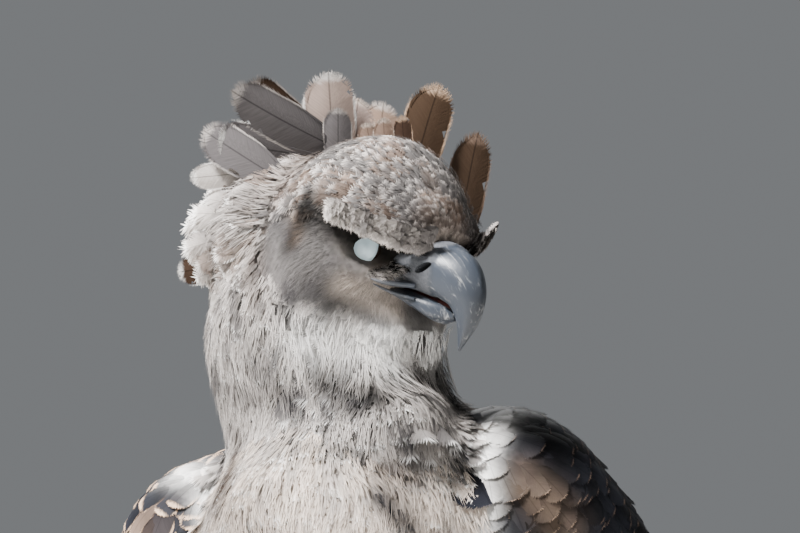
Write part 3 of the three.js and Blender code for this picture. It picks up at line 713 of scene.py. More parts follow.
def vane_pattern(rng, rows, fray=0.03, notches=0, tip_barbs=0, edge_barbs=0, shaft=0.0, blunt=0.68):
    """Firm feather: a closed vane in rows of four strips, with a raised shaft, splits in its edge and
    loose barbs round its tip and along its sides."""
    columns = np.array([-1, -0.5, 0, 0.5, 1])
    y = np.linspace(0, 1, rows + 1)
    y = np.where(y > 0.5, 0.5 + 0.5 * np.power(np.clip((y - 0.5) / 0.5, 0, 1), 0.8), y)
    half = vane_width(np.minimum(y, 0.99), blunt)
    grid_x = columns * half[:, None]
    grid_y = np.repeat(y[:, None], 5, axis=1) - 0.05 * np.abs(columns) * (1 - half[:, None] * 0.3)
    edge = fray * rng.uniform(-1, 1, (rows + 1, 2))
    grid_x[:, 0] *= 1 + edge[:, 0]
    grid_x[:, 4] *= 1 + edge[:, 1]
    for _ in range(notches):
        row, column = rng.integers(rows // 2, rows), rng.choice([0, 4])
        grid_x[row, column] *= 0.72
        grid_y[row, column] += 0.4 / rows
    grid_z = np.zeros_like(grid_x)
    grid_z[:, 2] += shaft
    index = np.arange((rows + 1) * 5).reshape(rows + 1, 5)
    quads = np.stack([index[:-1, :-1], index[:-1, 1:], index[1:, 1:], index[1:, :-1]], axis=-1)
    quads = quads.reshape(-1, 4)
    faces = [tuple(q[[0, 1, 2]]) for q in quads] + [tuple(q[[0, 2, 3]]) for q in quads]
    x, yy, z = [grid_x.ravel()], [grid_y.ravel()], [grid_z.ravel()]
    count = grid_x.size

    def loose_barb(root_a, root_b, end):
        nonlocal count
        x.append(np.array([root_a[0], root_b[0], end[0]]))
        yy.append(np.array([root_a[1], root_b[1], end[1]]))
        z.append(np.array([0.003, 0.003, 0.006 + 0.01 * rng.uniform(0, 1)]))
        faces.append((count, count + 1, count + 2))
        count += 3

    for k in range(tip_barbs):
        a = lerp(-1.45, 1.45, (k + 0.5) / tip_barbs) + 0.03 * rng.uniform(-1, 1)
        around = lambda r, turn: (r * math.sin(a + turn), blunt + r * (1 - blunt) * math.cos(a + turn))
        wide = 2.2 / tip_barbs
        loose_barb(around(0.84, -wide), around(0.84, wide), around(1.0 + 0.09 * rng.uniform(0, 1), 0.02))
    for k in range(edge_barbs):
        side = 1 if k % 2 else -1
        t = lerp(0.15, blunt, (k + 0.5) / edge_barbs)
        wide = float(vane_width(t, blunt))
        loose_barb((side * wide * 0.88, t - 0.6 / edge_barbs), (side * wide * 0.88, t + 0.6 / edge_barbs),
                   (side * wide * (1.0 + 0.09 * rng.uniform(0, 1)), t + 0.06))
    return as_pattern(np.concatenate(x), np.concatenate(yy), np.concatenate(z), faces)


BARB_SLANT = 0.9  # how far a barb runs towards the tip for each millimetre that it runs out
COMB = 0.9  # millimetres between the barbs that the material draws
PATCH = 0.003  # size of a feather's patch on the unwrap


def grown(name, seeds, patterns, material, slot, marks=()):
    """Feathers on their roots, as one mesh. seeds holds one row for each feather: root, normal, flow,
    length, width, lift, curl, sway, camber, tint, edge, patch (its place on the unwrap), and the way and
    the step to the coat's outside. marks names the sets of marks that cross them."""
    count = len(seeds["root"])
    rng = np.random.default_rng(len(name) * 977 + count)
    kind = rng.integers(0, len(patterns), count)
    kept = {}
    start = 0
    for k, pattern in enumerate(patterns):
        pick = np.nonzero(kind == k)[0]
        if not len(pick):
            continue
        seed = {key: rows[pick].reshape(len(pick), 1, -1) for key, rows in seeds.items()}
        x, y, z = (pattern[key][None, :, None] for key in "xyz")
        normal, flow, length, half = seed["normal"], seed["flow"], seed["length"], seed["width"] / 2
        rise = length * (seed["lift"] * y - seed["curl"] * y * y + z) - seed["camber"] * half * x * x
        side = np.cross(flow, normal)
        shape = (seed["root"] + side * (half * x + seed["sway"] * length * y * y) + flow * (length * y)
                 + normal * rise)
        spread = np.ones((len(pick), shape.shape[1], 1))
        chance = rng.uniform(0, 1, (len(pick), 1, 1)) * spread
        out = np.abs(x * half) * spread
        parts = {key: seed[key] * spread for key in ("out", "over", "tint", "edge")}
        parts["points"] = shape
        firsts = start + np.arange(len(pick)) * shape.shape[1]
        parts["faces"] = pattern["faces"][None] + firsts[:, None, None]
        parts["vane"] = np.concatenate([x * spread, y * spread, chance], axis=-1)
        parts["barbs"] = np.concatenate([
            (y * length * spread - BARB_SLANT * out) / COMB, out * 0.12, chance * 90 + (x > 0) * 7], axis=-1)
        parts["patch"] = (seed["patch"] * spread
                          + np.concatenate([x * PATCH / 2, y * PATCH], axis=-1) * spread)
        for key, values in parts.items():
            kept.setdefault(key, []).append(values.reshape(-1, values.shape[-1]))
        start += len(pick) * shape.shape[1]
    kept = {key: np.concatenate(rows) for key, rows in kept.items()}
    tint, edge = marked(kept["points"] + kept["over"], kept["out"], kept["tint"], kept["edge"], marks)
    piece = piece_from(name, kept["points"], kept["faces"])
    set_colour(piece, "tint", tint)
    set_colour(piece, "edge", edge)
    set_vector(piece, "vane", kept["vane"])
    set_vector(piece, "barbs", kept["barbs"])
    uv = piece.data.uv_layers.new(name="OFBake")
    uv.data.foreach_set("uv", kept["patch"][kept["faces"].ravel()].astype(np.float32).ravel())
    return finished(piece, material, slot)


# Where feathers grow
def unwrap(p):
    """Place of a point on the skin's unwrap, on which each part is spread out round its own centre."""
    part = part_distances(p).argmin(axis=-1)
    centres = np.array([PARTS[name][1] for name in PART_NAMES])
    ray = unit(p - centres[part])
    azimuth = np.arctan2(ray[:, 0], -ray[:, 1]) / (2 * math.pi) + 0.5
    height = np.arccos(np.clip(-ray[:, 2], -1, 1)) / math.pi
    column, row = part % 3, part // 3
    return np.stack([(column + 0.03 + 0.94 * azimuth) / 3, (row + 0.03 + 0.94 * height) / 3], axis=-1)


def wave(p, size, seed):
    """Soft variation between -1 and 1 that repeats about every `size` millimetres."""
    rng = np.random.default_rng(seed)
    total = np.zeros(p.shape[:-1])
    for _ in range(4):
        way = unit(rng.normal(size=3))
        total += np.sin(p @ way * 2 * math.pi / (size * rng.uniform(0.7, 1.5)) + rng.uniform(0, 6.28))
    return total / 2.4


DOWN_BACK = np.array([0, math.cos(rad(TRUNK_PITCH)), -math.sin(rad(TRUNK_PITCH))])
UP_BACK = np.array([0, math.sin(rad(TRUNK_PITCH)), math.cos(rad(TRUNK_PITCH))])
DOWN_TAIL = np.array([0, math.cos(rad(TAIL["pitch"])), -math.sin(rad(TAIL["pitch"]))])
UP_TAIL = np.array([0, math.sin(rad(TAIL["pitch"])), math.cos(rad(TAIL["pitch"]))])
BILL_ROOT = np.array([0, -52, -2])  # in the head's axes: the feathers of the head run away from it


def flow_at(p, normal, shares):
    """The lie of the coat: away from the bill on the head, then down the neck and along the trunk."""
    head_way = unit(to_head(p) - BILL_ROOT) @ HEAD_TURN.T
    head_way = head_way + np.array([0, 0, -0.25])
    ways = {
        "head": head_way,
        "neck": np.array([0, 0.15, -1.0]),
        "torso": np.where(p[:, 1:2] > -40, DOWN_BACK, np.array([0, 0.1, -1.0])),
        "wing_left": DOWN_BACK + np.array([0.06, 0, 0]),
        "wing_right": DOWN_BACK + np.array([-0.06, 0, 0]),
        "thigh_left": np.array([0.05, 0.1, -1.0]),
        "thigh_right": np.array([-0.05, 0.1, -1.0]),
        "tail": DOWN_TAIL,
    }
    total = np.zeros_like(p)
    for k, name in enumerate(PART_NAMES):
        total += shares[:, k:k + 1] * unit(np.broadcast_to(ways[name], p.shape))
    total -= normal * (total * normal).sum(axis=-1, keepdims=True)
    return unit(total)


class Ground:
    """The skin's triangles, from which roots are drawn."""

    def __init__(self, piece):
        mesh = piece.data
        mesh.calc_loop_triangles()
        count = len(mesh.loop_triangles)
        corners = np.empty(count * 3, np.int32)
        mesh.loop_triangles.foreach_get("vertices", corners)
        points = points_of(piece)
        self.a, self.b, self.c = (points[corners.reshape(-1, 3)[:, k]] for k in range(3))
        self.area = np.linalg.norm(np.cross(self.b - self.a, self.c - self.a), axis=-1) / 2
        self.middle = (self.a + self.b + self.c) / 3
        self.region = region_at(self.middle)

    def roots(self, region, spacing, seed):
        """Roots about `spacing` apart over one region. spacing may be a function of place."""
        rng = np.random.default_rng(seed)
        pick = np.nonzero(self.region == REGIONS.index(region))[0]
        gap = spacing(self.middle[pick]) if callable(spacing) else np.full(len(pick), float(spacing))
        weight = self.area[pick] / gap ** 2
        count = int(weight.sum() * 5)
        chosen = rng.choice(pick, count, p=weight / weight.sum())
        u, v = rng.uniform(0, 1, (2, count, 1))
        u, v = np.where(u + v > 1, 1 - u, u), np.where(u + v > 1, 1 - v, v)
        p = self.a[chosen] + u * (self.b - self.a)[chosen] + v * (self.c - self.a)[chosen]
        radius = spacing(p) if callable(spacing) else np.full(count, float(spacing))
        return p[kept_apart(p, radius)]


def kept_apart(p, radius):
    """Numbers of the points that keep their distance from all kept before them."""
    keys = np.floor(p / float(radius.max())).astype(int).tolist()
    steps = list(itertools.product((-1, 0, 1), repeat=3))
    grid, kept = {}, []
    for i, ((x, y, z), (a, b, c), limit) in enumerate(zip(p.tolist(), keys, (radius ** 2).tolist())):
        near = (q for da, db, dc in steps for q in grid.get((a + da, b + db, c + dc), ()))
        if all((q[0] - x) ** 2 + (q[1] - y) ** 2 + (q[2] - z) ** 2 >= limit for q in near):
            grid.setdefault((a, b, c), []).append((x, y, z))
            kept.append(i)
    return np.array(kept, int)


REGIONS = ["face", "crown", "ruff", "throat", "neck", "breast", "belly", "back", "wing_left", "wing_right",
           "thigh_left", "thigh_right", "vent"]


def region_at(p):
    """The number of the coat region that each point of the skin belongs to."""
    part = part_distances(p).argmin(axis=-1)
    h = to_head(p)
    x, y, z = np.abs(h[:, 0]), h[:, 1], h[:, 2]
    head, torso = part == 0, part == 2
    rules = (
        (head, "face"), (head & (z > brow_height(x, y)), "crown"),
        (head & (y > 14) & (np.hypot(x, z + 12) > 40) & (z < 34), "ruff"), (head & (y > 40), "ruff"),
        (head & (z < -36) & (y < 30), "throat"), (part == 1, "neck"),
        (torso & (p[:, 1] < -60) & (p[:, 2] > 330), "breast"),
        (torso & ((p - np.array(PARTS["torso"][1])) @ UP_BACK > 20), "back"),
        (part == PART_NAMES.index("tail"), "vent"),
        *((part == k, name) for k, name in enumerate(PART_NAMES) if name.startswith(("wing", "thigh"))),
    )
    region = np.full(len(p), REGIONS.index("belly"))
    for where, name in rules:
        region[where] = REGIONS.index(name)
    return region


def brow_height(x, y):
    """Height of the brow's edge over the eye, in the head's axes."""
    return np.interp(x, [0, 14, 22, 31, 44, 60], [5, 4, 7, 8, 9, 16]) + np.maximum(y + 6, 0) * 0.25


def mixed(base, colour, amount):
    return base + (np.array(colour) - base) * np.clip(amount, 0, 1)[:, None]


# Marks of the head, the same on both sides, in its own axes: colour, start, end, radius and strength
HEAD_MARKS = (
    # Painted shadow in the groove between crown and face.
    ("soot", (50, -11, 20), (57, -8, -5), 7, 0.9),  # between crown and face
    ("buff", (54, -1, 8), (57, -13, -2), 3, 0.35),
    # Painted shadow of the groove behind the eye, over darker feathers.
    ("soot", (52, -13, 14), (44, -35, 3), 8, 0.9),  # over and behind the eye
    ("slate", (54, 26, 13), (56, -1, 1), 8, 0.42),
    ("taupe", (47, 22, 17), (33, 25, 30), 9, 0.4),
    ("taupe", (30, 24, 32), (8, 34, 40), 8, 0.4),
    ("taupe", (57, 19, -17), (64, 4, -35), 7, 0.28),
    ("slate", (55, -19, -30), (42, -35, -26), 8, 0.42),  # darkest part of the face
    ("cream", (41, -38, -20), (16, -51, -25), 5.5, 0.65),  # along the corner of the mouth
    ("soot", (42, -35, -33), (20, -51, -34), 5, 0.6),
    ("white", (53, -28, -49), (17, -55, -46), 10, 0.85),
    ("pearl", (34, -27, -5), (27, -35, -10), 4.0, 0.6),  # pale lids behind and under the eye
    ("buff", (28, -47, -11), (15, -55, -10), 4.0, 0.5),  # bristles before the eye
    # Painted shadow of the brow over the eye and at its front corner, over the dark lores.
    ("soot", (37, -37, 4), (16, -57, 0), 11, 1.0),  # under the brow
    ("soot", (31, -43, -3), (20, -53, -6), 5.5, 0.95),
    ("taupe", (13, -57, 20), (2, -61, 16), 7, 0.45),
    ("slate", (19, -53, 21), (26, -42, 28), 7, 0.35),
    ("cream", (9, -62, 8), (3, -62, 9), 4, 0.5),
)
# Marks of neck and breast, in the bird's axes
BODY_MARKS = (
    # Painted shadow under the overhanging shelf of the throat and where the chin's shade falls on the neck.
    ("soot", (7, -170, 526), (33, -166, 522), 7.5, 0.95),  # under the throat
    ("soot", (33, -166, 522), (50, -108, 531), 6, 0.9),
    ("soot", (45, -101, 536), (59, -102, 517), 10.8, 0.84),
    # Painted shade in the folds across the front of the neck.
    ("slate", (-12, -169, 516), (-7, -170, 510), 5, 0.8),
    ("slate", (7, -172, 515), (11, -172, 511), 5, 0.8),
    ("slate", (17, -172, 519), (26, -170, 515), 5, 0.8),
    ("slate", (-34, -170, 540), (-14, -170, 519), 6.5, 0.7),
    ("slate", (-58, -154, 524), (-34, -169, 516), 7.2, 0.54),
    # Painted shade in a fold across the front of the neck.
    ("soot", (-22, -176, 496), (26, -175, 494), 4, 0.7),
    ("slate", (43, -168, 508), (52, -163, 504), 8, 0.4),
    ("slate", (52, -161, 492), (58, -155, 487), 9, 0.72),
    ("umber", (38, -172, 486), (41, -171, 483), 6.3, 0.72),
    ("umber", (46, -168, 484), (54, -162, 478), 6, 0.7),
    # Painted shade in the crease under the crop.
    ("slate", (41, -176, 473), (49, -172, 464), 6.5, 1.0),
    ("slate", (49, -172, 464), (56, -168, 456), 6.5, 1.0),
    ("umber", (-54, -160, 487), (-53, -160, 474), 12.6, 0.98),
    ("umber", (-42, -176, 468), (-8, -190, 452), 5, 0.72),  # bars of the breast's side
    ("umber", (-46, -172, 456), (-14, -190, 440), 5, 0.72),
    ("umber", (-36, -180, 480), (-10, -186, 470), 4.5, 0.54),
    ("umber", (50, -172, 440), (68, -158, 452), 5, 0.6),
)
# Marks of the shoulders
WING_MARKS = (
    ("white", (-92, -116, 494), (-96, -108, 490), 9, 0.95),
    ("white", (-78, -126, 486), (-60, -150, 452), 6.8, 0.95),
    ("white", (72, -104, 515), (68, -122, 502), 7.5, 1.0),
    ("white", (68, -124, 502), (78, -146, 450), 8, 1.0),
    ("soot", (76, -106, 514), (92, -100, 504), 10.5, 0.7),
    ("buff", (92, -124, 484), (108, -110, 462), 12, 0.35),
)


# Middle and edge colour of each region, a second colour that comes in patches, and their size
GROUND_COLOURS = {
    "face": ("ash", "ash", "smoke", 17), "crown": ("ash", "pearl", "taupe", 19),
    "ruff": ("pearl", "white", "taupe", 22), "throat": ("white", "white", "pearl", 20),
    "neck": ("pearl", "white", "slate", 19), "breast": ("cream", "white", "pearl", 22),
    "belly": ("white", "white", "cream", 40), "back": ("slate", "smoke", "soot", 30),
    "wing_left": ("slate", "taupe", "soot", 22), "wing_right": ("slate", "buff", "taupe", 26),
    "thigh_left": ("white", "white", "cream", 30), "thigh_right": ("white", "white", "cream", 30),
    "vent": ("pearl", "white", "cream", 30),
}
# Which marks each region carries
MARKS = {"head": HEAD_MARKS, "body": BODY_MARKS, "wing": WING_MARKS}
MARKED = {"face": ("head",), "crown": ("head",), "ruff": ("head",), "throat": ("head", "body"),
          "neck": ("head", "body"), "breast": ("body",), "wing_left": ("wing",), "wing_right": ("wing",)}


def colour_of(name):
    return np.array(getattr(bpy.context.scene.eagle_colours, name))


def ground_colours(p, region):
    """Colour of the middle and the edge of a feather that grows at each point, before the marks."""
    tint, edge = np.zeros((2, len(p), 3))
    for name, (middle, rim, second, patch_size) in GROUND_COLOURS.items():
        where = region == REGIONS.index(name)
        blotch = smooth(wave(p[where], patch_size, 31), -0.2, 0.9) * 0.75
        tint[where] = mixed(np.tile(colour_of(middle), (where.sum(), 1)), colour_of(second), blotch)
        edge[where] = mixed(np.tile(colour_of(rim), (where.sum(), 1)), colour_of(second), blotch * 0.3)
    bars = smooth(np.sin((p @ np.array([0.3, 0.2, 1.0])) * 2 * math.pi / 13 + wave(p, 60, 33)), 0.35, 0.9)
    for name in ("thigh_left", "thigh_right"):
        where = region == REGIONS.index(name)
        tint[where] = mixed(tint[where], colour_of("umber"), bars[where] * 0.7)
        edge[where] = mixed(edge[where], colour_of("umber"), bars[where] * 0.5)
    return tint, edge


def marked(p, normal, tint, edge, sets):
    """The same colours with the marks at each point of the coat's outside. normal is the way out."""
    side = np.where(to_head(p)[:, :1] < 0, -1.0, 1.0)
    flip = np.concatenate([side, np.ones((len(p), 2))], axis=1)
    for name in sets:
        place, out = (to_head(p) * flip, normal @ HEAD_TURN * flip) if name == "head" else (p, normal)
        for colour, start, end, radius, strength in MARKS[name]:
            amount = strength * line(place, start, end, radius, out)
            tint = mixed(tint, colour_of(colour), amount * (0.4 if colour == "buff" else 1.0))
            edge = mixed(edge, colour_of(colour), amount)
    return tint, edge


class Plumage:
    """What the skin leaves for the coat: the ground that the feathers grow on."""

    ground = None


def eye_axes(side):
    """Out of the eye, along its opening towards the bill, and up, in the head's axes."""
    out = np.array([side * math.cos(rad(EYE_OUTWARD)), -math.sin(rad(EYE_OUTWARD)), 0])
    forward = np.array([-side * math.sin(rad(EYE_OUTWARD)), -math.cos(rad(EYE_OUTWARD)), 0])
    c, s = math.cos(rad(LID["slant"])), math.sin(rad(LID["slant"]))
    return out, forward * c - np.array([0, 0, s]), np.array([0, 0, c]) + forward * s


def eye_nearness(p):
    """How far each point lies from the middle of the nearer eye's opening, 1 at the lids' edge, and the way
    that leads off from it."""
    h = to_head(p)
    nearest, away = np.full(len(p), 99.0), np.zeros((len(p), 3))
    for _, side in SIDES:
        out, forward, up = eye_axes(side)
        q = h - mirrored(EYE_PLACE, side)
        ahead, rise = q @ forward, q @ up
        far = np.hypot(ahead / (LID["half"] + 1.5), rise / (LID["height"] + 2.2))
        far = np.where((q @ out) > 0, far, 99)
        closer = far < nearest
        nearest = np.where(closer, far, nearest)
        way = (forward * ahead[:, None] + up * rise[:, None]) @ HEAD_TURN.T
        away = np.where(closer[:, None], way, away)
    return nearest, unit(away)


# How much single feathers of a region differ from their neighbours in brightness
VARIETY = {"face": 0.10, "crown": 0.26, "ruff": 0.12, "neck": 0.12, "breast": 0.10, "wing_left": 0.35,
           "wing_right": 0.30, "back": 0.25}


def height_over(p, normal, offset, limit):
    """How far the skin lies from the tangent plane of a root, at an offset in that plane."""
    height = np.zeros(len(p))
    for _ in range(3):
        height = np.clip(height - skin_field(p + offset + normal * height[:, None]), -limit, limit)
    return height


def seeds_for(p, length, width, lift, curl=0.06, camber=0.15, flow_wander=0.15, lift_wander=0.3, seed=1,
              sunk=0.3, variety=0.08):
    """The rows that grown() needs, for roots at p. length, width and lift may be arrays."""
    far, away = eye_nearness(p)
    clear = far > 1
    p, far, away = p[clear], far[clear], away[clear]
    length, width, lift = (v[clear] if np.ndim(v) else v for v in (length, width, lift))
    rng = np.random.default_rng(seed)
    count = len(p)
    normal = slope_of(skin_field, p)
    shares = shares_of(part_distances(p))
    flow = flow_at(p, normal, shares)
    beside_eye = np.exp(-np.square((far - 1) / 0.5))[:, None]
    flow = flow * (1 - beside_eye) + away * beside_eye
    flow = unit(flow - normal * (flow * normal).sum(axis=-1, keepdims=True))
    length = length * lerp(0.35, 1.0, smooth(far, 1, 2.1))
    length = length * lerp(0.6, 1.0, smooth(shares.max(axis=-1), 0.5, 0.95))
    length = length * lerp(1.0, 0.5, smooth(normal @ DOWN_BACK, 0.3, 0.8))
    side = np.cross(flow, normal)
    wander = flow_wander * (wave(p, 38, seed + 1) + 0.8 * rng.uniform(-1, 1, count))
    flow = unit(flow + side * wander[:, None])
    tint, edge = ground_colours(p, region_at(p))
    out, over = to_outside(p)
    vary = 1 + variety * rng.uniform(-1, 1, (count, 1))
    length = length * (1 + 0.14 * rng.uniform(-1, 1, count))
    width = width * (1 + 0.12 * rng.uniform(-1, 1, count))
    limit = length * 0.45
    halfway = height_over(p, normal, flow * (length / 2)[:, None], limit / 2)
    whole = height_over(p, normal, flow * length[:, None], limit)
    side = np.cross(flow, normal)
    ahead, aside = flow * (length / 2)[:, None], side * (width / 2)[:, None]
    beside = sum(height_over(p, normal, ahead + way * aside, limit) for way in (1, -1)) / 2
    lift = lift * (1 + lift_wander * wave(p, 26, seed + 2) + 0.25 * rng.uniform(-1, 1, count))
    return {
        "root": p - normal * sunk, "normal": normal, "flow": flow, "length": length, "width": width,
        "lift": lift + (4 * halfway - whole) / length,
        "curl": curl * (1 + 0.3 * rng.uniform(-1, 1, count)) - (2 * whole - 4 * halfway) / length,
        "sway": 0.10 * rng.uniform(-1, 1, count),
        "camber": camber + np.clip((halfway - beside) / (width / 2), -0.6, 0.6),
        "tint": tint * vary, "edge": edge * (1 + (vary - 1) * 0.5), "patch": unwrap(p), "out": out,
        "over": over,
    }


# Skin
FARTHEST = 420.0  # millimetres from a part's centre to beyond its surface
HALVINGS = 26  # rounds of the search for the surface between the two
SKIN_VOXEL = 2.7


class EAGLE_OT_skin(bpy.types.Operator):
    """One closed skin over head, neck, trunk, wings, thighs and the root of the tail"""

    bl_idname = "eagle.skin"
    bl_label = "Skin"

    def execute(self, context):
        bodies = []
        for name in PART_NAMES:
            field, centre, depth = PARTS[name]
            clear_selection()
            bpy.ops.mesh.primitive_ico_sphere_add(subdivisions=5, radius=1)
            ball = context.object
            rays = np.empty(len(ball.data.vertices) * 3, np.float32)
            ball.data.vertices.foreach_get("co", rays)
            rays = unit(rays.reshape(-1, 3).astype(float))
            inside, outside = np.zeros(len(rays)), np.full(len(rays), FARTHEST)
            for _ in range(HALVINGS):
                middle = (inside + outside) / 2
                reached = np.array(centre) + rays * middle[:, None]
                distance = field(reached) + depth
                within = (carved(reached, distance) if name == "head" else distance) < 0
                inside, outside = np.where(within, middle, inside), np.where(within, outside, middle)
            set_points(ball, np.array(centre) + rays * inside[:, None])
            bodies.append(ball)
        skin = joined("skin", bodies)
        modify(skin, "REMESH", mode="VOXEL", voxel_size=SKIN_VOXEL * MM)
        points = points_of(skin)
        for _ in range(5):
            points -= slope_of(skin_field, points) * np.clip(skin_field(points), -3, 3)[:, None]
        set_points(skin, points)
        modify(skin, "SMOOTH", factor=0.5, iterations=2)
        choose(skin)
        bpy.ops.object.shade_smooth()
        Plumage.ground = Ground(skin)
        points = points_of(skin)
        region = region_at(points)
        tint, edge = ground_colours(points, region)
        out, over = to_outside(points)
        for name, sets in MARKED.items():
            where = region == REGIONS.index(name)
            tint[where], edge[where] = marked(
                (points + over)[where], out[where], tint[where], edge[where], sets)
        set_colour(skin, "tint", tint)
        finished(skin, coated_skin(), "pale_plumage", "head", "neck", "torso", "tail", "wing_left",
                 "wing_right", "thigh_left", "thigh_right")
        return {"FINISHED"}


# The brow's lower edge and the edge of the bristles on the bill, on the left of the head in its own axes
BROW = ((50, -18, 11), (47, -28, 9), (44, -35, 8), (40, -42, 7), (35, -47, 6), (29, -51, 4), (23, -55, 3),
        (17, -59, 2.5), (12, -61, 4.5))
BRISTLE_EDGE = ((26, -46, -14), (20, -49, -11), (16.5, -52, -8), (14.5, -56, -4), (13.5, -60, 1))
PLACES = 60  # places along each edge
BROW_ROWS = ((11.0, 12), (8.0, 10), (5.5, 8.5), (3.5, 7.0))  # height of the roots over the edge, length
# First place and number of feathers in a row. The left brow leaves the head's outline to the crown.
BROW_SPAN = {"left": (28, 50), "right": (9, 76)}
BRISTLES, LASHES = 900, 360  # on each side


class EAGLE_OT_brow(bpy.types.Operator):
    """Feathers of the brows, whose tips hang over the eyes, and the bristles at the root of the bill"""

    bl_idname = "eagle.brow"
    bl_label = "Brow and bristles"

    def execute(self, context):
        rng = np.random.default_rng(21)
        fringed = [plume_pattern(rng, 32, 0.28, 0.05, 2, 0.5) for _ in range(6)]
        hairs = [hair_pattern(rng, 6, 0.07) for _ in range(6)]
        rows, bristles = [], []
        edge, border = curve_through(BROW, PLACES), curve_through(BRISTLE_EDGE, PLACES)
        for name, side in SIDES:
            flip = np.array([side, 1, 1])
            first, number = BROW_SPAN[name]
            for level, length in BROW_ROWS:
                for k in rng.integers(first, PLACES, number):
                    at = edge[k] + rng.uniform(-1.1, 1.1, 3)
                    along = unit(edge[min(k + 1, PLACES - 1)] - edge[max(k - 1, 0)])
                    outward = unit(np.array([along[1], -along[0], 0]))
                    root = at + np.array([0, 0, level]) - outward * (1.0 + level * 0.30)
                    way = (at + np.array([0, 0, level * 0.42]) + outward * 0.8 - root
                           - along * level * rng.uniform(0.1, 0.8))
                    patch = smooth(wave(at[None], 12, 35), -0.4, 0.7)
                    tone = mixed(colour_of("pearl")[None], colour_of("smoke"), patch * 0.8)[0]
                    rows.append(lone(
                        from_head(root * flip), HEAD_TURN @ (way * flip), HEAD_TURN @ (outward * flip),
                        length * rng.uniform(0.75, 1.15), rng.uniform(4, 6.5), tone * 0.8,
                        tone * rng.uniform(1.1, 1.9), 0.10, 0.25 * rng.uniform(-1, 1)))
            for _ in range(BRISTLES):
                share = rng.uniform(0, 1)
                back = rng.uniform(1, 12)
                root = border[int(share * (PLACES - 1))] + np.array([0.5, 0, 0.8]) + back * np.array(
                    [0.26, 0.95, 0.12])
                way = np.array([-0.22, -1, rng.uniform(-0.55, 0.1)])
                dark = rng.uniform(0, 1) < lerp(0.35, 1.6, share)
                tone = colour_of("soot" if dark else "pearl") * rng.uniform(0.25, 0.9)
                bristles.append(lone(
                    from_head(root * flip), HEAD_TURN @ (way * flip),
                    HEAD_TURN @ (np.array([1, -0.35, 0.2]) * flip), rng.uniform(4, 7), 3.2, tone, tone, -0.1,
                    0.3 * rng.uniform(-1, 1), 0.0))
            out, forward, up = eye_axes(side)
            for _ in range(LASHES):
                a = rng.uniform(0, 2 * math.pi)
                c, s = math.cos(a), math.sin(a)
                far = rng.uniform(1.12, 1.5)
                root = on_eye(side, LID["half"] * c * far, LID["height"] * s * far * 0.95, EYE_RADIUS + 0.4)
                # Lashes before and above the eye are black, partly as painted shadow of the brow and partly
                # as the dark lores; the rest are white.
                tone = colour_of("soot" if c > 0.35 or s > 0.75 else "white") * rng.uniform(0.5, 1.0)
                way = forward * c * 0.6 + up * s * 0.6 + out * 0.55
                bristles.append(lone(
                    from_head(root), HEAD_TURN @ way, HEAD_TURN @ out, rng.uniform(2.5, 4.5), 3.0, tone,
                    tone, 0.1, 0.3 * rng.uniform(-1, 1), 0.0))
        material = plumage("brow plumage", 0.85, 0.25, 0.9, 0.14, 0.2, 0.5, 0.8, base=0.6)
        grown("brow", lone_seeds(rows), fringed, material, "pale_plumage")
        hairy = plumage("loral bristles", 0.9, 0.0, 0.0, 0.10, 0.1, 0.6)
        grown("bristles", lone_seeds(bristles), hairs, hairy, "grey_plumage")
        return {"FINISHED"}


# Bundles of loose barbs over a region: spacing, length and height over the skin
LOOSE_BARBS = (("crown", 3.0, 7, 2.5), ("ruff", 3.6, 12, 4.0), ("throat", 2.6, 11, 3.0),
               ("neck", 3.0, 12, 3.5), ("breast", 3.2, 13, 3.0))
PIECE_LIMIT = 170000  # triangles, past which a region is shared out over more pieces


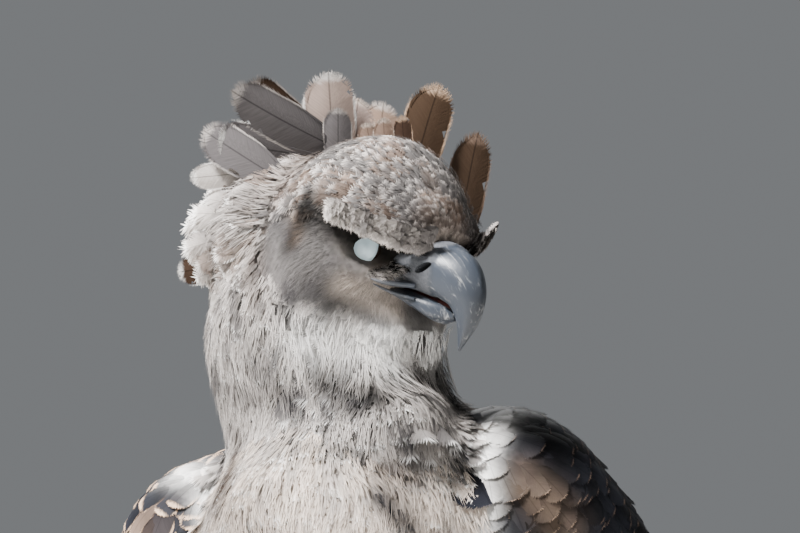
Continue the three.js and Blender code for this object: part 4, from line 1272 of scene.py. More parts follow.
class EAGLE_OT_coat(bpy.types.Operator):
    """Small feathers over the skin, region by region"""

    bl_idname = "eagle.coat"
    bl_label = "Coat"

    def execute(self, context):
        sizes = context.scene.eagle_sizes
        ground = Plumage.ground
        if ground is None:
            raise RuntimeError("The coat needs the skin, which is made before it")
        rng = np.random.default_rng(11)
        hairy = plumage("facial bristles", 0.9, 0.0, 0.0, 0.10, 0.1, 0.6)
        mottled = plumage("crown plumage", 0.85, 0.30, 0.8, 0.14, 0.2, 0.42, 0.7, base=0.42)
        soft = plumage("downy plumage", 0.85, 0.35, 0.9, 0.12, 0.2, 0.26, 0.6, 0.035, base=0.36)
        smoothed = plumage("breast plumage", 0.85, 0.20, 0.9, 0.10, 0.15, 0.26, 0.8, 0.03, base=0.62)
        firm = plumage("contour plumage", 0.6, 0.30, 0.7, 0.10, 0.16, 0.30, 0.12, 0.04, base=0.5)
        worn = plumage("worn covert plumage", 0.7, 0.30, 0.95, 0.12, 0.16, 0.36, 0.5, 0.04, base=0.5)
        hairs = [hair_pattern(rng, 6) for _ in range(8)]
        small = [plume_pattern(rng, 44, 0.14, 0.03, 3, 0.55) for _ in range(8)]
        wispy = [plume_pattern(rng, 44, 0.20, 0.04, 3) for _ in range(8)]
        fine = [plume_pattern(rng, 84, 0.14, 0.015, 4) for _ in range(8)]
        even = [plume_pattern(rng, 96, 0.16, 0.008, 6, 0.45) for _ in range(8)]
        vanes = [vane_pattern(rng, 6, 0.03, 1, 30, 30) for _ in range(8)]
        covert = sizes.covert / MM

        def down_wing(p):
            """0 at the bend of the wing and 1 where the flight feathers start."""
            return np.clip(((p - np.array(WING_AXIS)) @ DOWN_BACK + 62) / 170, 0, 1)

        def covert_spacing(p):
            return lerp(6.0, 14.0, down_wing(p))

        def covert_length(p):
            return lerp(covert * 0.85, covert * 2.4, down_wing(p))

        def up_crown(p):
            """0 at the bill and 1 at the crest."""
            return smooth(np.linalg.norm(to_head(p) - BILL_ROOT, axis=-1), 14, 62)

        def crown_spacing(p):
            return lerp(2.1, 5.0, up_crown(p))

        def crown_length(p):
            return sizes.crown / MM * lerp(0.6, 1.25, up_crown(p))

        def neck_length(p):
            """Shorter over the crop, which bulges."""
            crop = np.exp(-np.square(np.linalg.norm(p - np.array(CROP), axis=-1) / 34))
            return sizes.neck / MM * (1 - 0.45 * crop)

        plan = (
            # region, spacing, length, width/length, lift, curl, patterns, material
            ("face", 1.15, sizes.bristle / MM, 0.30, 0.26, 0.06, hairs, hairy),
            ("crown", crown_spacing, crown_length, 0.74, 0.20, 0.06, small, mottled),
            ("ruff", 4.6, sizes.ruff / MM, 0.56, 0.17, 0.04, fine, soft),
            ("throat", 3.0, 19, 0.50, 0.20, 0.05, wispy, soft),
            ("neck", 4.6, neck_length, 0.62, 0.10, 0.02, fine, soft),
            ("breast", 5.6, sizes.breast * 1.15 / MM, 0.70, 0.06, 0.01, even, smoothed),
            ("belly", 8.5, sizes.breast * 1.2 / MM, 0.74, 0.10, 0.02, even, smoothed),
            ("back", 9.0, 44, 0.74, 0.10, 0.02, vanes, firm),
            ("wing_left", covert_spacing, covert_length, 0.82, 0.12, 0.03, vanes, firm),
            ("wing_right", covert_spacing, covert_length, 0.74, 0.12, 0.03, vanes, worn),
            ("thigh_left", 7.5, 30, 0.62, 0.14, 0.02, fine, soft),
            ("thigh_right", 7.5, 30, 0.62, 0.14, 0.02, fine, soft),
            ("vent", 8.0, 46, 0.5, 0.10, 0.02, fine, soft),
        )
        for k, (region, spacing, length, ratio, lift, curl, patterns, material) in enumerate(plan):
            p = ground.roots(region, spacing, 100 + k)
            length = length(p) if callable(length) else np.full(len(p), float(length))
            seeds = seeds_for(p, length, length * ratio, lift, curl, seed=200 + 7 * k,
                              variety=VARIETY.get(region, 0.08))
            count = len(seeds["root"])
            shares = math.ceil(count * len(patterns[0]["faces"]) / PIECE_LIMIT)
            for share in range(shares):
                part = {key: rows[share::shares] for key, rows in seeds.items()}
                name = f"coat_{region}" if shares == 1 else f"coat_{region}_{share + 1}"
                grown(name, part, patterns, material, "pale_plumage", MARKED.get(region, ()))

        # Loose barbs that lie over the feathers and soften their edges
        for k, (region, spacing, length, height) in enumerate(LOOSE_BARBS):
            p = ground.roots(region, spacing, 300 + k)
            seeds = seeds_for(p, np.full(len(p), float(length)), np.full(len(p), length * 0.5), 0.16, 0.02,
                              seed=400 + 7 * k, sunk=-height, variety=0.15, flow_wander=0.3)
            grown(f"loose_{region}", seeds, hairs, hairy, "pale_plumage", MARKED.get(region, ()))
        return {"FINISHED"}


# Eyes and bill
def on_eye(side, ahead, rise, radius):
    """A point on a sphere round the eye, by millimetres ahead and up from the middle of its opening."""
    out, forward, up = eye_axes(side)
    flat = np.hypot(ahead, rise)
    angle = flat / EYE_RADIUS
    way = (forward * ahead + up * rise) / max(flat, 1e-6)
    return mirrored(EYE_PLACE, side) + radius * (out * math.cos(angle) + way * math.sin(angle))


class EAGLE_OT_eyes(bpy.types.Operator):
    """Eyeballs, the half drawn third eyelid and the rims of the lids"""

    bl_idname = "eagle.eyes"
    bl_label = "Eyes"

    def execute(self, context):
        ball_look = eyeball_material()
        lid_look = lid_material()
        film_look = membrane_material()
        for name, side in SIDES:
            out, forward, up = eye_axes(side)
            clear_selection()
            bpy.ops.mesh.primitive_uv_sphere_add(segments=64, ring_count=40, radius=1)
            ball = context.object
            ball.name = f"eyeball_{name}"
            rays = unit(np.array([v.co[:] for v in ball.data.vertices]))
            facing = rays @ out
            bulge = 1 + 0.05 * smooth(facing, 0.80, 0.97)
            radius = (EYE_RADIUS - 0.6) * bulge[:, None]
            set_points(ball, from_head(mirrored(EYE_PLACE, side) + rays * radius))
            degrees = np.degrees(np.arccos(np.clip(facing, -1, 1)))
            set_vector(ball, "gaze", np.stack([degrees, rays @ forward, rays @ up], axis=-1))
            choose(ball)
            bpy.ops.object.shade_smooth()
            finished(ball, ball_look, "eye", f"eye_{name}")

            rows, count = 7, 72
            sections = []
            for r in range(rows):
                ring_points = []
                for k in range(count):
                    a = 2 * math.pi * k / count
                    almond = abs(math.sin(a)) ** 1.15 * math.copysign(1, math.sin(a))
                    wide = LID["half"] * math.cos(a)
                    high = LID["height"] * almond * (0.78 if almond > 0 else 1)
                    grow_out = (0, 0.15, 0.7, 1.5, 2.6, 4.0, 5.5)[r]
                    length = math.hypot(wide, high) or 1
                    wide, high = wide * (1 + grow_out / length), high * (1 + grow_out / length)
                    level = EYE_RADIUS + (0.1, 1.1, 1.5, 1.3, 1.0, 0.6, 0.0)[r]
                    ring_points.append(on_eye(side, wide, high, level))
                sections.append(ring_points)
            lids = loft(f"eyelids_{name}", from_head(np.array(sections)), closed_ends=False)
            # Painted shade: the lids are painted dark above and in front, as the brow's shadow over them and
            # the dark skin before the eye, and pale below and behind.
            dark, light = colour_of("soot"), colour_of("membrane")
            shade = np.zeros((rows * count, 3))
            for r in range(rows):
                for k in range(count):
                    a = 2 * math.pi * k / count
                    lower = smooth(np.array(-math.sin(a)), -0.1, 0.5)
                    rear = smooth(np.array(-math.cos(a)), -0.5, 0.7)
                    pale = max(float(lower), float(rear) * 0.8)
                    shade[r * count + k] = lerp(dark, light, pale * 0.8)
            set_colour(lids, "tint", shade)
            finished(lids, lid_look, "grey_plumage")

            rows, count = 10, 24
            sections = []
            for r in range(rows):
                ahead = lerp(-LID["half"] - 1, LID["half"] * 0.42, r / (rows - 1))
                across = [lerp(-1, 1, k / (count - 1)) for k in range(count)]
                sections.append([on_eye(side, ahead - 2.5 * c * c * r / rows, 7 * c, EYE_RADIUS + 0.35)
                                 for c in across])
            grid = np.arange(rows * count).reshape(rows, count)
            quads = np.stack([grid[:-1, :-1], grid[1:, :-1], grid[1:, 1:], grid[:-1, 1:]], axis=-1)
            film = piece_from(f"third_eyelid_{name}", from_head(np.array(sections).reshape(-1, 3)),
                              quads.reshape(-1, 4))
            modify(film, "SOLIDIFY", thickness=0.3 * MM, offset=1.0)
            finished(film, film_look, "eye")
        return {"FINISHED"}


def eyeball_material():
    """Eyeball: wet and glassy. A dark pupil in a brown iris, with a dark edge round it."""
    material, surface, add = new_material("eyeball", Roughness=0.06, IOR=1.38)
    gaze = add("Attribute", attribute_name="gaze")
    parts = add("SeparateXYZ", {"Vector": (gaze, "Vector")})
    ramp = add("ValToRGB")
    scaled = add("Math", {1: 1 / 45, 0: (parts, "X")}, operation="MULTIPLY")
    stops = ramp.color_ramp
    stops.elements[0].position, stops.elements[0].color = 0.0, rgba(srgb("#050505"))
    stops.elements[1].position, stops.elements[1].color = 1.0, rgba(srgb("#2a2320"))
    for position, colour in ((0.36, srgb("#070605")), (0.40, colour_of("iris")), (0.66, colour_of("iris")),
                             (0.74, srgb("#1c1512"))):
        stop = stops.elements.new(position)
        stop.color = rgba(colour)
    link(scaled, "Value", ramp, "Fac")
    fibres = add("TexNoise", {"Scale": 6.0, "Detail": 3.0, "Vector": (gaze, "Vector")})
    shade = add("MapRange", {"To Min": 0.6, "To Max": 1.3, "Value": (fibres, "Fac")})
    colour = add("VectorMath", {0: (ramp, "Color"), "Scale": (shade, "Result")}, operation="SCALE")
    link(colour, "Vector", surface, "Base Color")
    return material


def membrane_material():
    """Third eyelid: a thin wet membrane, bluish white with faint vessels."""
    material, surface, add = new_material("wet membrane", Roughness=0.16, IOR=1.38)
    place = add("TexCoord")
    _, colour = clouded(add, place, 4, 4.0, colour_of("membrane"), srgb("#9fb4bf"))
    link(colour, 2, surface, "Base Color")
    return material


def lid_material():
    """Bare skin of the lids: fine wrinkles, slightly moist."""
    material, surface, add = new_material("lid skin", Roughness=0.45, IOR=1.4)
    tint = add("Attribute", attribute_name="tint")
    link(tint, "Color", surface, "Base Color")
    place = add("TexCoord")
    wrinkles = add("TexNoise", {"Scale": 1 / (0.8 * MM), "Detail": 3.0, "Vector": (place, "Object")})
    bump = add("Bump", {"Strength": 0.5, "Distance": 0.2 * MM, "Height": (wrinkles, "Fac")})
    link(bump, "Normal", surface, "Normal")
    return material


UPPER_BILL = {
    "culmen": ((0, -40, 3), (0, -51, 6), (0, -62, 7.6), (0, -76, 4.5), (0, -85, -3), (0, -89.5, -13),
               (0, -88.3, -26), (0, -80.5, -40)),
    "cutting": ((0, -27, -17.5), (0, -38, -17), (0, -49, -16.4), (0, -60, -17), (0, -68, -18.4),
                (0, -74, -21), (0, -78.2, -28), (0, -79.8, -39.3)),
    "half": (20, 18.2, 15.4, 12.6, 9.8, 7.0, 4.2, 0.8),
}
LOWER_BILL = {
    "rim": ((0, -27, -17.6), (0, -42, -17.5), (0, -56, -18.1), (0, -66, -19.6), (0, -74, -23)),
    "keel": ((0, -27, -22), (0, -42, -22.5), (0, -56, -27), (0, -66, -30), (0, -74.6, -26.8)),
    "half": (18.6, 16.4, 13.4, 9.6, 2.0),
}
# The soft strips that lead back from the bill along the mouth, on the head's left in its own axes
GAPE_UPPER = ((30, -43.5, -14.4), (26, -46.5, -15), (21.5, -49, -15), (17, -52.5, -14.6),
              (13.5, -57, -14.2))
GAPE_LOWER = ((28.5, -44, -16.6), (24.5, -46.5, -18), (20, -48.5, -19.2), (16, -52, -19.8),
              (12.5, -57, -20.4))
CERE_END = 64  # millimetres ahead of the middle of the skull
NOSTRIL = {"place": (12, -61.5, -4.5), "radii": (8, 5.0, 1.9), "slant": 35}


def bill_sections(top, low, half, rows, sides, squareness):
    """Rings from the forehead to the tip, rounded above and square towards the cutting edge."""
    top, low = curve_through(top, rows), curve_through(low, rows)
    wide = curve_through([(h, 0, 0) for h in half], rows)[:, 0]
    sections = []
    for t, l, w in zip(top, low, wide):
        middle, rise = (t + l) / 2, (t - l) / 2
        ring_points = []
        for k in range(sides):
            a = 2 * math.pi * k / sides
            c, s = math.cos(a), math.sin(a)
            if s * squareness[0] >= 0:
                x = math.copysign(abs(c) ** 1.35, c)
                z = abs(s) ** squareness[1] * squareness[0]
            else:
                x = math.copysign(abs(c) ** 0.45, c) * (1 + 0.06 * abs(s))
                z = -abs(s) ** 0.8 * squareness[0]
            ring_points.append(middle + rise * z + np.array([x * w, 0, 0]))
        sections.append(ring_points)
    return np.array(sections)


def cere_border(height):
    """How far ahead of the skull's middle the horn starts, which bulges forward at the nostril."""
    return CERE_END + 2.5 * np.cos(np.clip((height + 3) / 14, -1.5, 1.5)) - 1.2


class EAGLE_OT_bill(bpy.types.Operator):
    """Hooked upper bill with its cere and nostrils, lower bill and the lining of the mouth"""

    bl_idname = "eagle.bill"
    bl_label = "Bill"

    def execute(self, context):
        look = bill_material()
        sections = bill_sections(*UPPER_BILL.values(), 60, 48, (1, 0.9))
        centre = sections.mean(axis=1, keepdims=True)
        ahead = -sections[..., 1:2]
        border = cere_border(sections[..., 2:3])
        swell = 1.1 * (1 - smooth(ahead, border - 0.8, border + 0.8)) * smooth(ahead, 38, 50)
        sections = sections + unit(sections - centre) * swell
        upper = loft("upper_bill_horn", from_head(sections))
        for _, side in SIDES:
            clear_selection()
            bpy.ops.mesh.primitive_uv_sphere_add(segments=32, ring_count=16, radius=1)
            cutter = context.object
            rays = np.array([v.co[:] for v in cutter.data.vertices])
            slope = turn_x(-NOSTRIL["slant"])
            rays = (rays * np.array(NOSTRIL["radii"])) @ slope.T
            set_points(cutter, from_head(rays + mirrored(NOSTRIL["place"], side)
                                         + np.array([side * 4.5, 0, 0])))
            cutter.data.materials.append(look)
            choose(upper)
            cut = upper.modifiers.new("Nostril", "BOOLEAN")
            cut.operation, cut.object, cut.solver = "DIFFERENCE", cutter, "EXACT"
            bpy.ops.object.modifier_apply(modifier=cut.name)
            bpy.data.objects.remove(cutter, do_unlink=True)
        paint_bill(upper, True)
        finished(upper, look, "bill_horn", "upper_bill", smooth_angle=38)

        sections = bill_sections(*LOWER_BILL.values(), 36, 40, (-1, 0.8))
        lower = loft("lower_bill_horn", from_head(sections))
        paint_bill(lower, False)
        finished(lower, look, "bill_horn", "lower_bill", smooth_angle=38)

        for name, side in SIDES:
            for part, route, thick in (("upper", GAPE_UPPER, (0.5, 1.5, 2.1, 2.4, 2.2)),
                                       ("lower", GAPE_LOWER, (0.4, 1.1, 1.5, 1.7, 1.5))):
                line_of = curve_through([mirrored(p, side) for p in route], 24)
                wide = curve_through([(t, 0, 0) for t in thick], 24)[:, 0]
                ahead = np.gradient(line_of, axis=0)
                flesh = loft(f"gape_{part}_{name}", from_head(np.array([
                    ring(p, unit(a), UP, w, w * 0.62, 16)
                    for p, a, w in zip(line_of, ahead, wide)])))
                paint_bill(flesh, False)
                finished(flesh, look, "bill_horn", smooth_angle=60)

        lining = loft("mouth_lining", from_head(bill_sections(
            ((0, -26, -16), (0, -50, -15.5), (0, -66, -17.5), (0, -72, -20)),
            ((0, -26, -21), (0, -50, -21.4), (0, -66, -22.4), (0, -72, -24)),
            (13, 9.5, 6, 1.6), 16, 20, (1, 0.9))))
        mouth, *_ = new_material("mouth lining", Base_Color=rgba(srgb("#38130f")), Roughness=0.35)
        finished(lining, mouth, "bill_horn")
        return {"FINISHED"}


def paint_bill(piece, upper):
    """How much of each point is hard horn, how deep it lies in a nostril, which sets the nostril's painted
    shade, and how worn its edge is.
    """
    h = to_head(points_of(piece))
    ahead = -h[:, 1]
    border = cere_border(h[:, 2])
    horn = smooth(ahead, border - 0.5, border + 0.5) if upper else smooth(ahead, 46, 58)
    # Painted shade: the deeper a point lies in a nostril, the darker it is painted.
    nostril_shade = np.zeros(len(h))
    if upper:
        slope = turn_x(-NOSTRIL["slant"])
        for _, side in SIDES:
            q = (h - mirrored(NOSTRIL["place"], side)) @ slope / np.array([5, 5.1, 2.0])
            nostril_shade = np.maximum(nostril_shade, 1 - smooth(np.linalg.norm(q, axis=-1), 0.7, 1.05))
    set_vector(piece, "horn", np.stack([horn, nostril_shade, ahead], axis=-1))
    reach = h[:, 1:] - np.array([-56.0, -34.0])  # round the middle of the hook's curve
    along = np.arctan2(reach[:, 1], -reach[:, 0]) * 32
    set_vector(piece, "growth", np.stack(
        [along * 0.06, h[:, 0] * 0.8, np.linalg.norm(reach, axis=-1)], axis=-1))


def bill_material():
    """Bill: matt leathery cere at the base and harder slate horn beyond it. The horn is polished by wear,
    with pale scratches and flakes along its growth, which partly stand in as painted highlights, darker and
    glossier towards the hook."""
    material, surface, add = new_material("bill horn and cere", IOR=1.54, Specular_IOR_Level=0.38)
    mask = add("Attribute", attribute_name="horn")
    parts = add("SeparateXYZ", {"Vector": (mask, "Vector")})
    place = add("TexCoord")
    growth = add("Attribute", attribute_name="growth")
    # Pale streaks along the growth: partly scratches and flakes, partly painted highlights.
    scratches_and_highlights = add("TexNoise", {
        "Scale": 0.55, "Detail": 6.0, "Roughness": 0.65, "Distortion": 0.5, "Vector": (growth, "Vector")})
    clouds = add("TexNoise", {"Scale": 1 / (14 * MM), "Detail": 3.0, "Vector": (place, "Object")})
    worn = add("MapRange", {
        "From Min": 0.51, "From Max": 0.78, "Value": (scratches_and_highlights, "Fac")}, interpolation_type="SMOOTHSTEP")
    patches = add("MapRange", {
        "From Min": 0.40, "From Max": 0.62, "To Max": 0.75, "Value": (clouds, "Fac")})
    amount = add("Math", {0: (worn, "Result"), 1: (patches, "Result")}, operation="MULTIPLY")
    horn = add("Mix", {
        "Factor": (amount, "Value"), 6: rgba(colour_of("bill")), 7: rgba(srgb("#d4d2cf"))}, data_type="RGBA")
    dark = add("MapRange", {
        "From Min": 74.0, "From Max": 90.0, "To Min": 1.0, "To Max": 0.62, "Value": (parts, "Z")})
    horn_shaded = add("VectorMath", {0: (horn, 2), "Scale": (dark, "Result")}, operation="SCALE")
    grain, cere = clouded(add, place, 1.1, 4.0, colour_of("cere"), srgb("#5a5c61"))
    colour = add("Mix", {
        "Factor": (parts, "X"), 6: (cere, 2), 7: (horn_shaded, "Vector")}, data_type="RGBA")
    # Painted shade: the nostrils' recesses are painted nearly black.
    nostril_shaded = add("Mix", {"Factor": (parts, "Y"), 6: (colour, 2), 7: rgba(srgb("#0c0b0b"))}, data_type="RGBA")
    link(nostril_shaded, 2, surface, "Base Color")
    gloss = add("MapRange", {"To Min": 0.6, "To Max": 0.42, "Value": (parts, "X")})
    matt = add("Math", {1: 0.3, 0: (amount, "Value"), 2: (gloss, "Result")}, operation="MULTIPLY_ADD")
    link(matt, "Value", surface, "Roughness")
    relief = add("Math", {1: 0.5, 0: (grain, "Fac"), 2: (scratches_and_highlights, "Fac")}, operation="MULTIPLY_ADD")
    bump = add("Bump", {"Strength": 0.5, "Distance": 0.25 * MM, "Height": (relief, "Value")})
    link(bump, "Normal", surface, "Normal")
    return material


# Crest, flight feathers and tail
# Crest feathers in the head's axes: colour of the middle and of the edge, where each leaves the coat, its
# tip, its width and how far it goes on below the coat
CREST = (
    ("mauve", "white", (-6, 26, 38), (-10, 38, 71), 27, 16),
    ("mauve", "cream", (4, 24, 38), (11, 32, 60), 21, 16),
    ("smoke", "pearl", (-8, 20, 37), (-7, 26, 56), 15, 12),
    ("smoke", "pearl", (-22, 30, 42), (-63, 44, 54), 23, 26),
    ("sepia", "pearl", (-18, 39, 43), (-46, 52, 59), 21, 20),
    ("smoke", "white", (-16, 45, 30), (-54, 56, 30), 24, 8),
    ("pearl", "white", (-41, 48, 18), (-64, 58, 11), 13, 12),
    ("sepia", "buff", (43, 20, 45), (53, 30, 71), 24, 30),
    ("sepia", "taupe", (68, 10, 26), (74, 18, 51), 21, 38),
    ("umber", "white", (-43, 60, -31), (-54, 67, -35), 15, 18),
    ("taupe", "cream", (14, 12, 40), (13, 18, 54), 11, 12),
    ("umber", "buff", (23, 10, 45), (23, 16, 56), 10, 18),
    ("taupe", "cream", (8, 14, 38), (7, 20, 51), 11, 12),
    ("taupe", "pearl", (30, 34, 34), (42, 52, 56), 22, 20),
    ("smoke", "pearl", (-40, 42, 24), (-58, 62, 34), 22, 20),
)
FLIGHT = {"count": 20, "slope": (-0.243, 0.757, -0.604), "outward": (0.5, 0.68, 0.65), "rise": 11.9,
          "reach": 272, "back": 168, "tip_fan": 33.6, "root_fan": (-12, 86.8), "width": (32, 50)}


def lone_seeds(rows):
    """The rows that grown() needs, from one dictionary for each feather."""
    return {key: np.array([row[key] for row in rows], float) for key in rows[0]}


def lone(root, along, face, length, width, tint, edge, curl=0.0, sway=0.0, camber=0.12):
    """One feather that doesn't follow the skin: where it starts, where it points and which way it faces."""
    along, face = unit(np.asarray(along, float)), np.asarray(face, float)
    normal = unit(face - along * (face @ along))
    root = np.asarray(root, float)
    return {"root": root, "normal": normal, "flow": along, "length": length, "width": width, "lift": 0.0,
            "curl": curl, "sway": sway, "camber": camber, "tint": tint, "edge": edge, "out": normal,
            "over": np.zeros(3), "patch": unwrap((root + along * 4)[None])[0]}


class EAGLE_OT_crest(bpy.types.Operator):
    """Raised crest, feather by feather"""

    bl_idname = "eagle.crest"
    bl_label = "Crest"

    def execute(self, context):
        rng = np.random.default_rng(5)
        patterns = [vane_pattern(rng, 18, 0.02, 2, 80, 90, 0.004, 0.72) for _ in range(6)]
        rows = []
        for middle, rim, foot, tip, width, sunk in CREST:
            along = np.array(tip, float) - np.array(foot)
            root = np.array(foot) - unit(along) * sunk
            shade = 1 + 0.1 * rng.uniform(-1, 1)
            face = HEAD_TURN @ np.array([-0.4, -1, 0.35])
            rows.append(lone(from_head(root), HEAD_TURN @ along, face, np.linalg.norm(along) + sunk, width,
                             colour_of(middle) * shade, colour_of(rim), -0.06, 0.05 * rng.uniform(-1, 1)))
        material = plumage("crest plumage", 0.62, 0.5, 0.7, 0.14, 0.2, 0.6, 0.2, 0.05, base=0.45)
        grown("crest", lone_seeds(rows), patterns, material, "grey_plumage")
        return {"FINISHED"}


class EAGLE_OT_flight(bpy.types.Operator):
    """Flight feathers of both wings, stacked from the longest primary up to the innermost secondary"""

    bl_idname = "eagle.flight"
    bl_label = "Flight feathers"

    def execute(self, context):
        rng = np.random.default_rng(6)
        patterns = [vane_pattern(rng, 26, 0.012, 3, 0, 0, 0.004) for _ in range(5)]
        material = plumage("flight plumage", 0.55, 0.35, 0.5, 0.10, 0.15, 0.4, 0.15)
        for name, side in SIDES:
            slope = unit(mirrored(FLIGHT["slope"], side))
            outward = mirrored(FLIGHT["outward"], side)
            outward = unit(outward - slope * (outward @ slope))
            inward = np.cross(outward, slope) * side
            rows = []
            for k in range(FLIGHT["count"]):
                share = k / (FLIGHT["count"] - 1)
                level = mirrored(WING_END, side) + outward * FLIGHT["rise"] * share
                tip = (level - slope * (FLIGHT["back"] * share ** 0.85 + 3 * rng.uniform(-1, 1))
                       + inward * FLIGHT["tip_fan"] * share)
                root = (level - slope * FLIGHT["reach"]
                        + inward * (FLIGHT["root_fan"][0] + FLIGHT["root_fan"][1] * share))
                shade = 1 + 0.15 * rng.uniform(-1, 1)
                rows.append(lone(root, tip - root, outward, np.linalg.norm(tip - root),
                                 lerp(*FLIGHT["width"], share), colour_of("slate") * shade * 0.8,
                                 colour_of("buff") * 0.8))
            grown(f"flight_{name}", lone_seeds(rows), patterns, material, "slate_plumage")
        return {"FINISHED"}


class EAGLE_OT_tail(bpy.types.Operator):
    """Twelve barred tail feathers"""

    bl_idname = "eagle.tail"
    bl_label = "Tail feathers"

    def execute(self, context):
        rng = np.random.default_rng(7)
        patterns = [vane_pattern(rng, 34, 0.01, 3, 0, 0, 0.003) for _ in range(4)]
        rows = []
        for _, side in SIDES:
            for k in range(TAIL["feathers"] // 2):
                turn = rad((k + 0.5) * TAIL["spread"]) * side
                along = DOWN_TAIL * math.cos(turn) + np.array([math.sin(turn), 0, 0])
                steps = 2 * k + (0 if side > 0 else 1) if k < 3 else k + 3
                root = (np.array(TAIL["root"]) + np.array([(3 + 4 * k) * side, 0, 0])
                        - UP_TAIL * steps * TAIL["step"] - DOWN_TAIL * 4)
                length = TAIL["length"] * (1 - 0.012 * k)
                rows.append(lone(root, along, UP_TAIL, length, TAIL["width"], colour_of("smoke"),
                                 colour_of("white")))
        material = barred_plumage()
        grown("tail_feathers", lone_seeds(rows), patterns, material, "barred_plumage")
        return {"FINISHED"}


def barred_plumage():
    """Tail feather: firm closed vane, dark with broad ash bars and a pale tip, on which fine barbs show."""
    material = plumage("barred tail plumage", 0.6, 0.4, 0.8, 0.10, 0.15, 0.5, 0.1)
    add = functools.partial(add_node, material.node_tree)
    surface = material.node_tree.nodes["Principled BSDF"]
    source = surface.inputs["Base Color"].links[0].from_socket
    vane = add("Attribute", attribute_name="vane")
    parts = add("SeparateXYZ", {"Vector": (vane, "Vector")})
    across = add("Math", {0: (parts, "X")}, operation="ABSOLUTE")
    bent = add("Math", {1: -0.02, 0: (across, "Value"), 2: (parts, "Y")}, operation="MULTIPLY_ADD")
    phase = add("Math", {1: 2 * math.pi * 4.4, 0: (bent, "Value")}, operation="MULTIPLY")
    wave_node = add("Math", {0: (phase, "Value")}, operation="SINE")
    bar = add("MapRange", {
        "From Min": -0.15, "From Max": 0.15, "To Min": 0.16, "To Max": 1.0, "Value": (wave_node, "Value")},
        interpolation_type="SMOOTHSTEP")
    colour = add("VectorMath", {"Scale": (bar, "Result")}, operation="SCALE")
    material.node_tree.links.new(source, colour.inputs[0])
    link(colour, "Vector", surface, "Base Color")
    return material


# Legs and claws
# Toes: name, heading in degrees from straight ahead (outwards is positive), length, claw length and plates
TOES = (("inner", -28, 74, 62, 6), ("middle", 2, 94, 54, 9), ("outer", 36, 76, 44, 7),
        ("hind", 172, 56, 74, 5))
TARSUS = {"plates": 10, "radius": (16.5, 15)}
CLAW = {"start": -42, "end": 62, "deep": 0.118, "rows": 22, "sides": 20}


def foot_place(side):
    return np.array([HIP_WIDTH * side, 2, 0.0])


def heading(side, degrees):
    return np.array([side * math.sin(rad(degrees)), -math.cos(rad(degrees)), 0.0])


def toe_route(side, degrees, length, count):
    way = heading(side, degrees)
    start = foot_place(side)
    return curve_through([
        start + way * length * share + (0, 0, height)
        for share, height in ((0, 15), (0.35, 14), (0.7, 10), (1, 13.5))], count)


def tube(route, radii, up, sides):
    """Rings along a route."""
    ahead = np.gradient(route, axis=0)
    return [ring(p, unit(a), up, r, r, sides) for p, a, r in zip(route, ahead, radii)]


def plate_rows(route, radii, up, count, reach, spread):
    """Scutes over a tube, as points and faces: each a curved patch that stands out where it starts."""
    ahead = unit(np.gradient(route, axis=0))
    lengths = np.linspace(0, 1, len(route))
    points, faces = [], []
    for k in range(count):
        for r in range(5):
            t = reach[0] + (reach[1] - reach[0]) * (k + (r / 4) * 1.08) / count
            t = min(t, 1)
            centre = np.array([np.interp(t, lengths, route[:, i]) for i in range(3)])
            way = unit(np.array([np.interp(t, lengths, ahead[:, i]) for i in range(3)]))
            radius = np.interp(t, lengths, radii)
            side = unit(np.cross(way, up))
            top = unit(np.cross(side, way))
            lift = (0.1, 1.3, 1.5, 1.2, 0.0)[r]
            for j in range(9):
                a = rad(lerp(-spread, spread, j / 8))
                drop = 1.2 * (abs(j / 4 - 1) ** 4)
                out = side * math.sin(a) + top * math.cos(a)
                points.append(centre + out * (radius + lift - drop))
        base = k * 45
        for r in range(4):
            for j in range(8):
                a = base + r * 9 + j
                faces.append((a, a + 1, a + 10, a + 9))
    return np.array(points), np.array(faces)


